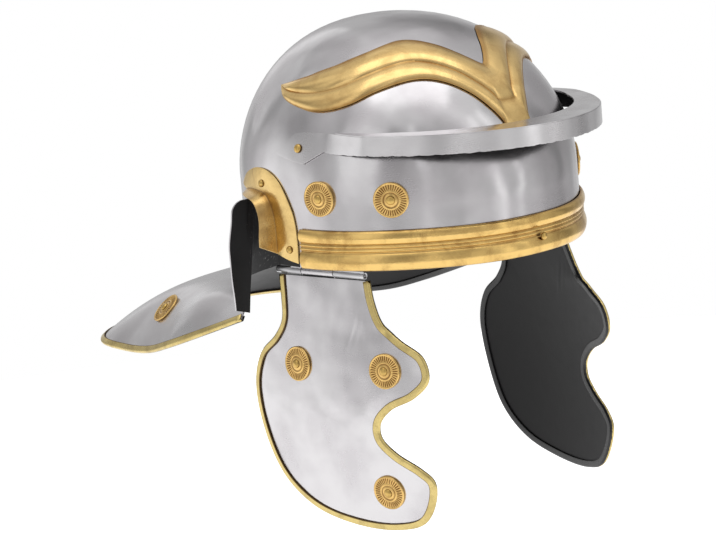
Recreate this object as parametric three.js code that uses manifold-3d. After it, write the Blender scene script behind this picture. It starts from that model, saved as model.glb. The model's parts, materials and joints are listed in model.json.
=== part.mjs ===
// A Roman legionary's helmet of sheet steel with brass trim, in millimetres, +Z up.
// The brow faces -Y and the wearer's left is +X. The origin is the middle of the rim plane.
// A plan angle is 0 at the brow and grows to 90 over the wearer's right ear, at -X.
import * as THREE from 'three';
import { mergeVertices } from 'three/addons/utils/BufferGeometryUtils.js';
import Module from 'manifold-3d';

const wasm = await Module();
wasm.setup();

// Sheet and fit
const steel = 1.2;
const brass = 0.9;
const clearance = 0.3;

// Skull
const skullLength = 236;
const skullWidth = 217;
const skullHeight = 152.5;
const wallHeight = 47;
const crownShift = 12;
const planPower = 2.2;
const browTaper = 0.048;
const domeRise = 1.77;
const domeRound = 2.3;

// Ear opening, nape and the turned-out flange behind the ear
const earFront = 98;
const earBack = 111;
const earHeight = 45.5;
const earRound = 3.5;
const napeDrop = 29;
const napeFlare = 13;
const napeSide = 3;
const earFlare = 7;
const flangeWidth = 15.5;
const flangeTop = 41;
const flangeDrop = 33;
const flangeCorner = 10;

// Neck guard
const guardReach = 273;
const guardOverhang = 12.5;
const guardDrop = 80;
const guardCrown = 12.5;
const collarHeight = 9;

// Brow guard
const peakReach = 147;
const peakWidth = 216;
const peakTop = 89;
const peakDepth = 13;
const peakShelf = 24.5;
const shelfGap = 4.5;
const tabHeight = 22;
const tabPoint = 94.5;

// Brass band, eyebrow ornament and ear guards
const bandHeight = 26;
const bandRelief = 3;
const ornamentTop = 140.5;
const ornamentFoot = 80;
const ornamentRelief = 1.6;
const earGuardTop = 63;
const lipReach = 11;
const lipLean = 3;

// Cheek guards
const hingeAcross = 98.5;
const hingeBack = 17;
const hingeDrop = 5.5;
const hingeTurn = 8.2;
const hingeLength = 75.5;
const hingeStart = -12.5;
const leafTop = 14;
const leafFoot = 2;
const knuckleRadius = 2.4;
const pinRadius = 1;
const knuckleGap = 0.5;
const cheekDrop = 170;
const cheekReach = 112;
const cheekStart = -16;
const cheekLean = 1.2;
const cheekDish = 8.9;
const cheekCurl = 4.9;

// Bindings, rosettes and rivets
const bindingWidth = 3.5;
const bindingSheet = 0.7;
const bindingPlay = 0.45;
const rosetteRadius = 12;
const rosetteHeight = 1.5;
const rivetRadius = 3;
const smallRivet = 2.5;
const neckRivet = 2;
const rivetHeight = 2;

const finishes = {
  steel: { color: 0xb9b6b9, roughness: 0.28, metalness: 1 },
  brass: { color: 0xcfa655, roughness: 0.3, metalness: 1 },
  binding: { color: 0xccb75f, roughness: 0.32, metalness: 1 },
  rosette: { color: 0xd7a652, roughness: 0.4, metalness: 1 },
};
const group = new THREE.Group();
const rad = THREE.MathUtils.degToRad;
const clamp = THREE.MathUtils.clamp;
const lerp = THREE.MathUtils.lerp;
const smooth = THREE.MathUtils.smoothstep;

function addMesh(name, geometry, finish) {
  const mesh = new THREE.Mesh(geometry, new THREE.MeshStandardMaterial(finishes[finish]));
  mesh.name = name;
  group.add(mesh);
  return mesh;
}

// A closed body from points and triangles, turned so that its faces point out
function body(points, triangles) {
  const geometry = new THREE.BufferGeometry();
  const positions = triangles.flat().flatMap((index) => points[index].toArray());
  geometry.setAttribute('position', new THREE.Float32BufferAttribute(positions, 3));
  const merged = mergeVertices(geometry, 1e-4);
  const index = merged.getIndex().array;
  const place = merged.getAttribute('position');
  const corner = (i) => new THREE.Vector3().fromBufferAttribute(place, i);
  const kept = [];
  let volume = 0;
  for (let i = 0; i < index.length; i += 3) {
    const [a, b, c] = [index[i], index[i + 1], index[i + 2]];
    if (a !== b && b !== c && c !== a) {
      kept.push([a, b, c]);
      volume += corner(a).dot(corner(b).cross(corner(c)));
    }
  }
  merged.setIndex(kept.flatMap(([a, b, c]) => (volume > 0 ? [a, b, c] : [a, c, b])));
  return merged;
}

// A sheet between two grids of points; wrap joins its last column to its first
function plate(outer, inner, wrap = false) {
  const columns = outer.length;
  const rows = outer[0].length;
  const points = [...outer.flat(), ...inner.flat()];
  const at = (side, i, j) => side * columns * rows + (i % columns) * rows + j;
  const triangles = [];
  const quad = (a, b, c, d) => triangles.push([a, b, c], [a, c, d]);
  const last = wrap ? columns : columns - 1;
  for (let i = 0; i < last; i += 1) {
    for (let j = 0; j < rows - 1; j += 1) {
      quad(at(0, i, j), at(0, i + 1, j), at(0, i + 1, j + 1), at(0, i, j + 1));
      quad(at(1, i, j), at(1, i, j + 1), at(1, i + 1, j + 1), at(1, i + 1, j));
    }
    quad(at(0, i, 0), at(1, i, 0), at(1, i + 1, 0), at(0, i + 1, 0));
    quad(at(0, i, rows - 1), at(0, i + 1, rows - 1), at(1, i + 1, rows - 1), at(1, i, rows - 1));
  }
  for (let j = 0; !wrap && j < rows - 1; j += 1) {
    quad(at(0, 0, j), at(0, 0, j + 1), at(1, 0, j + 1), at(1, 0, j));
    quad(at(0, last, j), at(1, last, j), at(1, last, j + 1), at(0, last, j + 1));
  }
  return body(points, triangles);
}

// Normals of a grid of points, from each point's neighbours
function gridNormals(grid, wrap = false) {
  const columns = grid.length;
  const pick = (i, j) => {
    const column = wrap ? (i + columns) % columns : clamp(i, 0, columns - 1);
    return grid[column][clamp(j, 0, grid[0].length - 1)];
  };
  const along = (i, j) => pick(i + 1, j).clone().sub(pick(i - 1, j));
  const across = (i, j) => pick(i, j + 1).clone().sub(pick(i, j - 1));
  return grid.map((column, i) => column.map((_, j) => along(i, j).cross(across(i, j)).normalize()));
}

// A sheet of even thickness whose middle is the grid
function sheet(grid, thickness, wrap = false) {
  const normals = gridNormals(grid, wrap);
  const side = (distance) => grid.map((column, i) =>
    column.map((point, j) => point.clone().addScaledVector(normals[i][j], distance)));
  return plate(side(thickness / 2), side(-thickness / 2), wrap);
}

// A section of [a, b] points carried along count stations by place(station, a, b)
function sweep(section, count, place) {
  const outline = section.map(([a, b]) => new THREE.Vector2(a, b));
  if (THREE.ShapeUtils.isClockWise(outline)) outline.reverse();
  const points = [];
  const triangles = [];
  const sides = section.length;
  for (let i = 0; i < count; i += 1) {
    outline.forEach(({ x, y }) => points.push(place(i, x, y)));
  }
  for (let i = 0; i < count - 1; i += 1) {
    for (let j = 0; j < sides; j += 1) {
      const [a, b] = [i * sides + j, i * sides + (j + 1) % sides];
      triangles.push([a, b, b + sides], [a, b + sides, a + sides]);
    }
  }
  const end = (count - 1) * sides;
  THREE.ShapeUtils.triangulateShape(outline, []).forEach(([a, b, c]) => {
    triangles.push([a, c, b], [a + end, b + end, c + end]);
  });
  return body(points, triangles);
}

function solid(geometry) {
  const bare = geometry.clone();
  bare.deleteAttribute('normal');
  bare.deleteAttribute('uv');
  const merged = mergeVertices(bare, 1e-4);
  return new wasm.Manifold(new wasm.Mesh({
    numProp: 3,
    vertProperties: new Float32Array(merged.getAttribute('position').array),
    triVerts: new Uint32Array(merged.getIndex().array),
  }));
}

function joined(geometries) {
  const whole = geometries.map(solid).reduce((a, b) => a.add(b)).getMesh();
  const geometry = new THREE.BufferGeometry();
  geometry.setAttribute('position', new THREE.BufferAttribute(new Float32Array(whole.vertProperties), 3));
  geometry.setIndex(new THREE.BufferAttribute(new Uint32Array(whole.triVerts), 1));
  return geometry;
}

// Columns of points from the right-hand side to the middle, followed by their mirror image
function bothSides(half) {
  const other = half.slice(0, -1).map((column) => column.map((p) => new THREE.Vector3(-p.x, p.y, p.z)));
  return [...half, ...other.reverse()];
}

// How far the wall behind the ear stands out: a flare towards the flange, and the nape's below the rim
function napeOut(angle, z) {
  if (angle < earBack) return 0;
  const back = (angle - earBack) / (180 - earBack);
  const sink = clamp(-z / napeDrop, 0, 1.3) ** 1.5;
  const bend = (1 - smooth(back, 0, 0.17)) * (1 - smooth(z, earHeight * 0.4, earHeight - 1));
  return earFlare * bend + lerp(napeSide, napeFlare, smooth(back, 0, 0.7)) * sink;
}

// How much narrower the skull is between the brow and the temples than an even oval, less so up the dome
function narrowing(angle, rise) {
  const share = Math.abs(angle) < 90 ? Math.sin(2 * rad(angle)) ** 2 : 0;
  return 1 - browTaper * share * (1 - rise) ** 2;
}

// Outer skull surface at a plan angle and height, standing off by a distance
function skullPoint(angle, z, off = 0) {
  const rise = clamp((z - wallHeight) / (skullHeight - wallHeight + off), 0, 1);
  const size = (1 - rise ** domeRise) ** (1 / domeRound) * narrowing(angle, rise);
  const round = (value) => Math.sign(value) * Math.abs(value) ** (2 / planPower);
  const turn = rad(angle);
  const out = off + napeOut(angle, z);
  const x = -round(Math.sin(turn)) * (skullWidth / 2 + out) * size;
  const y = -round(Math.cos(turn)) * (skullLength / 2 + out) * size + crownShift * rise;
  return new THREE.Vector3(x, y, z);
}

function skullNormal(angle, z) {
  const step = 0.5;
  const along = skullPoint(angle + step, z).sub(skullPoint(angle - step, z));
  const up = skullPoint(angle, z + step).sub(skullPoint(angle, z - step));
  return up.cross(along).normalize();
}

// Lower edge of the skull: rim at the brow and temples, arch at the ear, nape behind
function skullEdge(angle) {
  if (angle <= earFront) return 0;
  if (angle < earBack) {
    const share = (earBack - angle) / (earBack - earFront);
    return earHeight * (1 - share ** earRound) ** (1 / earRound);
  }
  return lerp(-flangeDrop, -napeDrop, smooth(angle, earBack, 150));
}

function skull() {
  const sliver = 0.1;
  const fractions = [0, 0.02, 0.1, 0.28, 0.58];
  const ear = fractions.map((share) => lerp(earFront, earBack - sliver, share));
  const front = Array.from({ length: 10 }, (_, i) => (earFront * i) / 10);
  const bend = [sliver, 2.5, 5, 7.5, 10].map((turned) => earBack + turned);
  const rear = Array.from({ length: 6 }, (_, i) => lerp(earBack + 13, 180, i / 6));
  const half = [...front, ...ear, earBack - sliver, ...bend, ...rear];
  const domeRows = Array.from({ length: 7 }, (_, i) => Math.sin((Math.PI / 14) * (i + 1)));
  const wallRows = (edge) => {
    const base = Math.max(edge, 0);
    return [edge, lerp(edge, base, 0.35), lerp(edge, base, 0.7), base, (base + wallHeight) / 2, wallHeight];
  };
  const column = (off) => (angle) => [
    ...wallRows(skullEdge(angle)),
    ...domeRows.map((share) => lerp(wallHeight, skullHeight, share) + off * share),
  ].map((z) => skullPoint(angle, z, off));
  const grid = (off) => {
    const right = [...half, 180].map(column(off));
    const left = half.slice(1).map(column(off)).map((line) =>
      line.map((p) => new THREE.Vector3(-p.x, p.y, p.z)));
    return [...right, ...left.reverse()];
  };
  const flangeBack = skullPoint(earBack, skullHeight * 0.1).y;
  const flangeReach = skullWidth / 2 + flangeWidth;
  const depths = [1.07, 0.6, 0.25, 0].map((share) => -flangeDrop * share);
  const heights = [...depths, flangeTop * 0.5, flangeTop * 0.75, flangeTop];
  const root = heights.map((z) => new THREE.Vector2(-skullPoint(earBack, z, -steel * 0.8).x, z));
  const outline = new THREE.Shape(root);
  const shoulder = flangeReach - flangeCorner * 0.75;
  const tilt = 0.25;
  const corner = [shoulder - flangeCorner, flangeTop - flangeCorner];
  outline.absarc(...corner, flangeCorner, Math.PI / 2, tilt, true);
  outline.lineTo(flangeReach - 2, flangeTop * 0.35);
  outline.lineTo(flangeReach, -flangeDrop * 0.2);
  outline.lineTo(flangeReach - 1, -flangeDrop * 0.97);
  const flange = new THREE.ExtrudeGeometry(outline, { depth: steel, bevelEnabled: false, curveSegments: 5 });
  flange.rotateX(Math.PI / 2);
  flange.translate(0, flangeBack + steel, 0);
  const other = flange.clone().rotateZ(Math.PI).translate(0, 2 * flangeBack + steel, 0);
  addMesh('skull', joined([plate(grid(0), grid(-steel), true), flange, other]), 'steel');
}

// Cut edge of the neck guard from the right-hand corner to the middle of the back:
// back is a share of the way from the flange to the reach, out of half the width, down of the drop
const guardEdgeTable = [
  { back: 0.0, out: 0.975, down: 0.485 },
  { back: 0.17, out: 1.0, down: 0.65 },
  { back: 0.35, out: 1.0, down: 0.815 },
  { back: 0.5, out: 0.945, down: 0.93 },
  { back: 0.68, out: 0.87, down: 0.99 },
  { back: 0.85, out: 0.79, down: 1.0 },
  { back: 0.955, out: 0.57, down: 1.0 },
  { back: 1.0, out: 0.0, down: 1.0 },
];

const guardStations = 32;

function guardEdge(count) {
  const start = skullPoint(earBack, 0).y + steel + clearance;
  const halfWidth = skullWidth / 2 + guardOverhang;
  const corners = guardEdgeTable.map(({ back, out, down }) =>
    new THREE.Vector3(-out * halfWidth, lerp(start, guardReach, back), -down * guardDrop));
  const mirrored = corners.slice(0, -1).map((p) => new THREE.Vector3(-p.x, p.y, p.z));
  const curve = new THREE.CatmullRomCurve3([...corners, ...mirrored.reverse()]);
  return curve.getSpacedPoints(count);
}

function guardGrid(count) {
  const edge = guardEdge(count);
  const stand = clearance + steel / 2;
  const firstAngle = earBack + 1.6;
  return edge.map((rim, i) => {
    const share = (2 * i) / count;
    const left = share > 1;
    const spread = left ? 2 - share : share;
    const angle = lerp(firstAngle, 180, spread);
    const lower = lerp(-flangeDrop + 1, -napeDrop, smooth(spread, 0, 0.5));
    const seat = (z) => {
      const point = skullPoint(angle, z).addScaledVector(skullNormal(angle, z), stand);
      return left ? point.setX(-point.x) : point;
    };
    const heel = seat(lower);
    const crown = guardCrown * smooth(spread, 0, 0.35);
    const across = [0.25, 0.5, 0.75, 1].map((v) =>
      heel.clone().lerp(rim, v).add(new THREE.Vector3(0, 0, 4 * v * (1 - v) * crown)));
    return [seat(lower + collarHeight), heel, ...across];
  });
}

// U section of a binding over a sheet's cut edge: a runs outwards, b across the sheet
function bindingSection(reach, stock) {
  const slot = steel / 2 + bindingPlay;
  const face = slot + stock;
  return [
    [-reach, slot],
    [-reach, face],
    [0, face],
    [bindingPlay + stock, 0],
    [0, -face],
    [-reach, -face],
    [-reach, -slot],
    [bindingPlay, -slot],
    [bindingPlay, slot],
  ];
}

// Binding along a row of edge points, with the sheet's next inner row and its normals
function binding(name, edge, inner, normals) {
  const outward = edge.map((point, i) => {
    const away = point.clone().sub(inner[i]);
    const along = edge[Math.min(i + 1, edge.length - 1)].clone().sub(edge[Math.max(i - 1, 0)]);
    const side = normals[i].clone().cross(along).normalize();
    return side.multiplyScalar(Math.sign(side.dot(away)));
  });
  const place = (i, a, b) => edge[i].clone().addScaledVector(outward[i], a).addScaledVector(normals[i], b);
  addMesh(name, sweep(bindingSection(bindingWidth, bindingSheet), edge.length, place), 'binding');
}

function neckGuard() {
  const grid = guardGrid(guardStations);
  addMesh('neck_guard', sheet(grid, steel), 'steel');
  const last = grid[0].length - 1;
  const normals = gridNormals(grid).map((column) => column[last]);
  const row = (j) => grid.map((column) => column[j]);
  binding('neck_guard_binding', row(last), row(last - 1), normals);
}

function peakPoint(angle, z) {
  const turn = rad(angle);
  const free = new THREE.Vector3((-peakWidth / 2) * Math.sin(turn), -peakReach * Math.cos(turn), z);
  const seated = skullPoint(angle, z, clearance + steel / 2);
  return free.lerp(seated, smooth(angle, 64, 76));
}

// Half the brow guard's face, tab point first: plan angle, and the heights of its two edges
function peakColumns() {
  const top = peakTop - steel / 2;
  const tab = [
    { angle: tabPoint, low: 0.18, high: 0.22 },
    { angle: 91, low: 0.1, high: 0.6 },
    { angle: 88, low: 0.03, high: 0.96 },
    { angle: 84, low: 0, high: 1 },
    { angle: 80, low: 0.2, high: 1 },
    { angle: 76, low: 0.42, high: 1 },
  ];
  const seat = tab.map(({ angle, low, high }) => ({
    angle, low: lerp(top - tabHeight, top, low), high: lerp(top - tabHeight, top, high),
  }));
  const bar = [73, 70, 66, 61, 54, 46, 37, 28, 19, 10, 0].map((angle) => ({
    angle, low: peakTop - peakDepth, high: top,
  }));
  return [...seat, ...bar];
}

function browGuard() {
  const face = ({ angle, low, high }) => [low, lerp(low, high, 0.5), high].map((z) => peakPoint(angle, z));
  const wall = sheet(bothSides(peakColumns().map(face)), steel);
  const top = peakTop - steel / 2;
  const shelf = [72, 70, 66, 61, 54, 46, 37, 28, 19, 10, 0].map((angle) => {
    const rim = peakPoint(angle, top);
    const limit = skullPoint(angle, top - steel, shelfGap * (1 - smooth(angle, 50, 74)) + 3 * clearance);
    const inward = limit.clone().sub(rim).setZ(0);
    const width = Math.min(peakShelf, inward.length());
    return [rim, rim.clone().addScaledVector(inward.normalize(), width)];
  });
  addMesh('brow_guard', joined([wall, sheet(bothSides(shelf), steel)]), 'steel');
}

// Rolled profile of the brow band: out is a share of its relief, up of its height
const bandProfile = [
  { out: 0, up: 0 },
  { out: 0.85, up: 0 },
  { out: 1, up: 0.12 },
  { out: 1.05, up: 0.28 },
  { out: 0.9, up: 0.44 },
  { out: 0.45, up: 0.5 },
  { out: 0.7, up: 0.56 },
  { out: 0.5, up: 0.62 },
  { out: 0.7, up: 0.68 },
  { out: 0.45, up: 0.75 },
  { out: 0.85, up: 0.83 },
  { out: 0.8, up: 0.95 },
  { out: 0.35, up: 1 },
  { out: 0, up: 1 },
];

function browBand() {
  const end = 87.3;
  const stations = 27;
  const section = bandProfile.map(({ out, up }) => [clearance + out * bandRelief, up * bandHeight]);
  const place = (i, off, z) => skullPoint(lerp(-end, end, i / (stations - 1)), z, off);
  addMesh('brow_band', sweep(section, stations, place), 'brass');
}

// Half the eyebrow ornament, tip first: plan angles of its lower and upper edges, and their
// heights as shares of the way from its foot to its top
const ornamentTable = [
  { lowAngle: 102.4, low: 0.575, highAngle: 102.6, high: 0.585 },
  { lowAngle: 97.7, low: 0.47, highAngle: 97, high: 0.625 },
  { lowAngle: 90, low: 0.395, highAngle: 90.5, high: 0.68 },
  { lowAngle: 82, low: 0.355, highAngle: 84, high: 0.745 },
  { lowAngle: 74, low: 0.37, highAngle: 76.5, high: 0.8 },
  { lowAngle: 65, low: 0.435, highAngle: 69, high: 0.86 },
  { lowAngle: 56, low: 0.53, highAngle: 61, high: 0.91 },
  { lowAngle: 46, low: 0.6, highAngle: 51, high: 0.965 },
  { lowAngle: 36, low: 0.635, highAngle: 41, high: 1 },
  { lowAngle: 27, low: 0.615, highAngle: 32, high: 1 },
  { lowAngle: 19, low: 0.54, highAngle: 23.5, high: 0.975 },
  { lowAngle: 12.5, low: 0.42, highAngle: 15, high: 0.92 },
  { lowAngle: 8, low: 0.27, highAngle: 8.5, high: 0.84 },
  { lowAngle: 5.3, low: 0.13, highAngle: 4, high: 0.765 },
  { lowAngle: 4.4, low: 0, highAngle: 1.5, high: 0.715 },
  { lowAngle: 0, low: 0, highAngle: 0, high: 0.69 },
];

function eyebrowOrnament() {
  const rows = [
    { across: 0, raise: 0 },
    { across: 0.16, raise: 0.9 },
    { across: 0.36, raise: 0.75 },
    { across: 0.5, raise: 0.25 },
    { across: 0.66, raise: 0.8 },
    { across: 0.86, raise: 1 },
    { across: 1, raise: 0 },
  ];
  const height = (share) => lerp(ornamentFoot, ornamentTop, share);
  const line = (side) => ({ lowAngle, low, highAngle, high }) => rows.map(({ across, raise }) => {
    const angle = lerp(lowAngle, highAngle, across);
    const off = side ? clearance + brass + raise * ornamentRelief : clearance;
    return skullPoint(angle, lerp(height(low), height(high), across), off);
  });
  const grid = (side) => bothSides(ornamentTable.map(line(side)));
  addMesh('eyebrow_ornament', plate(grid(true), grid(false)), 'brass');
}

// Ear guard from the front foot over the ear: plan angles and heights of its outer edge and crease,
// the heights as shares of its top, how far its lip reaches and how far the lip's foot is cut up
const earGuardTable = [
  { rimAngle: 88.9, rim: 0.04, foldAngle: 97.3, fold: 0.11, reach: 1.2, lift: 0.45 },
  { rimAngle: 88.7, rim: 0.3, foldAngle: 97.2, fold: 0.3, reach: 1.15, lift: 0.1 },
  { rimAngle: 89.3, rim: 0.52, foldAngle: 97.4, fold: 0.46, reach: 1.05, lift: 0 },
  { rimAngle: 91, rim: 0.71, foldAngle: 98.2, fold: 0.58, reach: 1, lift: 0 },
  { rimAngle: 94, rim: 0.885, foldAngle: 99.8, fold: 0.68, reach: 1, lift: 0 },
  { rimAngle: 99, rim: 0.985, foldAngle: 102.3, fold: 0.74, reach: 1, lift: 0 },
  { rimAngle: 106, rim: 1, foldAngle: 105.6, fold: 0.755, reach: 0.95, lift: 0 },
  { rimAngle: 113.6, rim: 0.92, foldAngle: 110.4, fold: 0.76, reach: 0.8, lift: 0 },
  { rimAngle: 118.5, rim: 0.8, foldAngle: 115.4, fold: 0.74, reach: 0.5, lift: 0 },
];

function earGuard(name, side) {
  const centre = new THREE.Vector3(0, skullPoint(lerp(earFront, earBack, 0.7), 0).y, earHeight * 0.45);
  const grid = earGuardTable.map(({ rimAngle, rim, foldAngle, fold, reach, lift }) => {
    const stand = clearance + brass / 2;
    const outerEdge = skullPoint(rimAngle, rim * earGuardTop, stand);
    const crease = skullPoint(foldAngle, fold * earGuardTop, stand);
    const toCentre = centre.clone().sub(crease).setX(0).normalize();
    const lip = (share) => crease.clone()
      .add(new THREE.Vector3(-reach, 0, lift).multiplyScalar(lipReach * share))
      .addScaledVector(toCentre, lipLean * share);
    return [outerEdge, outerEdge.clone().lerp(crease, 0.5), crease, lip(0.5), lip(1)]
      .map((p) => new THREE.Vector3(side * p.x, p.y, p.z));
  });
  addMesh(name, sheet(grid, brass), 'brass');
}

// A turned piece standing on a point, its axis along a normal
function seated(name, profile, sides, point, normal, finish) {
  const outline = profile.map(([radius, height]) => new THREE.Vector2(radius, height));
  const mesh = addMesh(name, new THREE.LatheGeometry(outline, sides), finish);
  mesh.geometry.rotateX(Math.PI / 2);
  mesh.position.copy(point).addScaledVector(normal, clearance);
  mesh.quaternion.setFromUnitVectors(new THREE.Vector3(0, 0, 1), normal);
}

function rivet(name, point, normal, finish, radius = rivetRadius) {
  const height = (rivetHeight * radius) / rivetRadius;
  const profile = [[0, 0], [radius, 0], [radius * 0.72, height * 0.7], [0, height]];
  seated(name, profile, 8, point, normal, finish);
}

function rosette(name, point, normal) {
  const r = rosetteRadius;
  const h = rosetteHeight;
  const base = brass * 0.9;
  const profile = [[0, 0], [r, 0], [r * 0.95, h], [r * 0.8, base], [r * 0.4, h * 0.9], [0, base]];
  seated(name, profile, 12, point, normal, 'rosette');
  rivet(`${name}_rivet`, point.clone().addScaledVector(normal, h), normal, 'brass');
}

const mirror = (vector, side) => new THREE.Vector3(side * vector.x, vector.y, vector.z);
const sides = [{ word: 'right', side: 1 }, { word: 'left', side: -1 }];

// A piece on the skull: plan angle, height, and how far the seat stands off the steel
function onSkull(angle, z, off, side) {
  const normal = skullNormal(angle, z);
  return [mirror(skullPoint(angle, z).addScaledVector(normal, off), side), mirror(normal, side)];
}

function skullFittings() {
  const earSeat = clearance + brass;
  const frontPlaces = { right: [53, wallHeight * 0.98], left: [54.5, wallHeight * 0.925] };
  sides.forEach(({ word, side }) => {
    rosette(`skull_rosette_front_${word}`, ...onSkull(...frontPlaces[word], 0.4, side));
    rosette(`skull_rosette_side_${word}`, ...onSkull(79, wallHeight, 0.4, side));
    const tab = onSkull(86, peakTop - tabHeight / 2, clearance + steel, side);
    rivet(`brow_guard_rivet_${word}`, ...tab, 'brass');
    const upper = onSkull(102.4, earGuardTop * 0.845, earSeat, side);
    rivet(`ear_guard_rivet_upper_${word}`, ...upper, 'brass', smallRivet);
    const front = onSkull(91.3, earGuardTop * 0.18, earSeat, side);
    rivet(`ear_guard_rivet_front_${word}`, ...front, 'brass', smallRivet);
  });
  const middle = onSkull(0, bandHeight * 0.42, clearance + bandRelief, 1);
  rivet('brow_band_rivet', ...middle, 'brass', smallRivet);
}

function neckFittings() {
  const grid = guardGrid(guardStations);
  const column = guardStations / 4;
  const middle = (i) => grid[i][3].clone().lerp(grid[i][4], 0.5);
  const along = middle(column + 1).sub(middle(column - 1));
  const across = grid[column][4].clone().sub(grid[column][3]);
  const normal = along.cross(across).normalize();
  if (normal.z < 0) normal.negate();
  const point = middle(column).addScaledVector(normal, steel / 2 + clearance);
  const seat = clearance + steel + 0.2;
  const collar = (angle, side) => onSkull(angle, -napeDrop + collarHeight * 0.72, seat, side);
  rivet('neck_guard_rivet_back', ...collar(180, 1), 'steel', neckRivet);
  sides.forEach(({ word, side }) => {
    rosette(`neck_rosette_${word}`, mirror(point, side), mirror(normal, side));
    rivet(`neck_guard_rivet_${word}`, ...collar(140, side), 'steel', neckRivet);
  });
}

// Cheek guard outline from the back end of the hinge down, round and up to its front end:
// along is a share of the reach from the cheek guard's start, down of the drop
const cheekTable = [
  { along: 0.06, down: 0.02 },
  { along: 0.075, down: 0.11 },
  { along: 0.07, down: 0.2 },
  { along: 0.0, down: 0.27 },
  { along: -0.13, down: 0.345 },
  { along: -0.195, down: 0.46 },
  { along: -0.16, down: 0.64 },
  { along: -0.03, down: 0.825 },
  { along: 0.19, down: 0.935 },
  { along: 0.52, down: 0.988 },
  { along: 0.83, down: 0.99 },
  { along: 1.0, down: 0.955 },
  { along: 1.085, down: 0.87 },
  { along: 1.1, down: 0.79 },
  { along: 1.03, down: 0.745 },
  { along: 0.875, down: 0.685 },
  { along: 0.785, down: 0.625 },
  { along: 0.785, down: 0.565 },
  { along: 0.87, down: 0.503 },
  { along: 1.03, down: 0.45 },
  { along: 1.12, down: 0.385 },
  { along: 1.09, down: 0.305 },
  { along: 0.95, down: 0.245 },
  { along: 0.83, down: 0.185 },
  { along: 0.765, down: 0.1 },
  { along: 0.73, down: 0.018 },
];

const turn = rad(hingeTurn);
const lean = rad(cheekLean);
const hingeAlong = new THREE.Vector3(Math.sin(turn), -Math.cos(turn), 0);
const hingeOut = new THREE.Vector3(-Math.cos(turn), -Math.sin(turn), 0);
const cheekDown = new THREE.Vector3(0, 0, -Math.cos(lean)).addScaledVector(hingeOut, Math.sin(lean));
const cheekOut = hingeOut.clone().multiplyScalar(Math.cos(lean)).add(new THREE.Vector3(0, 0, Math.sin(lean)));
const hingeOrigin = new THREE.Vector3(-hingeAcross, hingeBack, -hingeDrop);

function cheekPoint(along, down) {
  const bulge = cheekDish * Math.sin(Math.PI * clamp(down / cheekDrop, 0, 1));
  const curl = cheekCurl * ((along - cheekReach / 3) / (cheekReach / 2)) ** 2 * smooth(down, 4, 45);
  return hingeOrigin.clone()
    .addScaledVector(hingeAlong, along)
    .addScaledVector(cheekDown, down)
    .addScaledVector(cheekOut, bulge - curl);
}

function cheekOutline(count) {
  const corners = cheekTable.map(({ along, down }) =>
    new THREE.Vector3(cheekStart + along * cheekReach, down * cheekDrop, 0));
  return new THREE.CatmullRomCurve3(corners).getSpacedPoints(count);
}

// A ring with its bore round the hinge axis, between two distances along it
function knuckle(from, to) {
  const outline = new THREE.Shape().absarc(0, 0, knuckleRadius, 0, 2 * Math.PI);
  outline.holes.push(new THREE.Path().absarc(0, 0, pinRadius + clearance, 0, 2 * Math.PI));
  const options = { depth: to - from, bevelEnabled: false, curveSegments: 5 };
  return alongHinge(new THREE.ExtrudeGeometry(outline, options), to);
}

// Sets a shape drawn with x outwards, y up and z backwards with its face at a distance along the hinge
function alongHinge(geometry, distance) {
  const up = new THREE.Vector3(0, 0, 1);
  const frame = new THREE.Matrix4().makeBasis(hingeOut, up, hingeAlong.clone().negate());
  frame.setPosition(hingeOrigin.clone().addScaledVector(hingeAlong, distance));
  return geometry.applyMatrix4(frame);
}

// A strip between the hinge axis and a sheet, drawn as a band of x, y points
function web(points, from, to) {
  const outline = new THREE.Shape(points.map(([x, y]) => new THREE.Vector2(x, y)));
  return alongHinge(new THREE.ExtrudeGeometry(outline, { depth: to - from, bevelEnabled: false }), to);
}

const knuckleEnds = [0, 0.29, 0.655, 1].map((share) => hingeStart + share * hingeLength);

function hinge(word, side) {
  const [start, first, second, end] = knuckleEnds;
  const wallInner = steel + 2 * clearance + steel / 2;
  const columns = 9;
  const leafStart = 0;
  const grid = Array.from({ length: columns }, (_, i) => {
    const along = lerp(leafStart, end, i / (columns - 1));
    const axis = hingeOrigin.clone().addScaledVector(hingeAlong, along);
    const angle = 90 + THREE.MathUtils.radToDeg(Math.asin(axis.y / (skullLength / 2)));
    const seat = (z) => skullPoint(angle, z, -wallInner);
    const edge = axis.clone().addScaledVector(hingeOut, steel)
      .add(new THREE.Vector3(0, 0, knuckleRadius + pinRadius));
    return [seat(leafTop), seat(leafFoot), edge];
  });
  const reach = knuckleRadius + 1.4;
  const stem = [[0.4, pinRadius + 0.7], [1.7, pinRadius + 0.7], [1.8, reach], [0.6, reach]];
  const leaf = joined([
    sheet(grid, steel),
    knuckle(start, first - knuckleGap / 2),
    web(stem, Math.max(start, leafStart), first - knuckleGap / 2),
    knuckle(second + knuckleGap / 2, end),
    web(stem, second + knuckleGap / 2, end),
  ]);
  const pin = new THREE.CylinderGeometry(pinRadius, pinRadius, hingeLength, 8).rotateX(Math.PI / 2);
  alongHinge(pin.translate(0, 0, hingeLength / 2), end);
  addMesh(`cheek_hinge_leaf_${word}`, mirrored(leaf, side), 'steel');
  addMesh(`cheek_hinge_pin_${word}`, mirrored(pin, side), 'steel');
}

// The geometry itself on the right, its mirror image on the left
function mirrored(geometry, side) {
  if (side > 0) return geometry;
  const copy = geometry.clone().scale(-1, 1, 1);
  const index = copy.getIndex().array;
  for (let i = 0; i < index.length; i += 3) {
    [index[i], index[i + 1]] = [index[i + 1], index[i]];
  }
  return copy;
}

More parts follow.
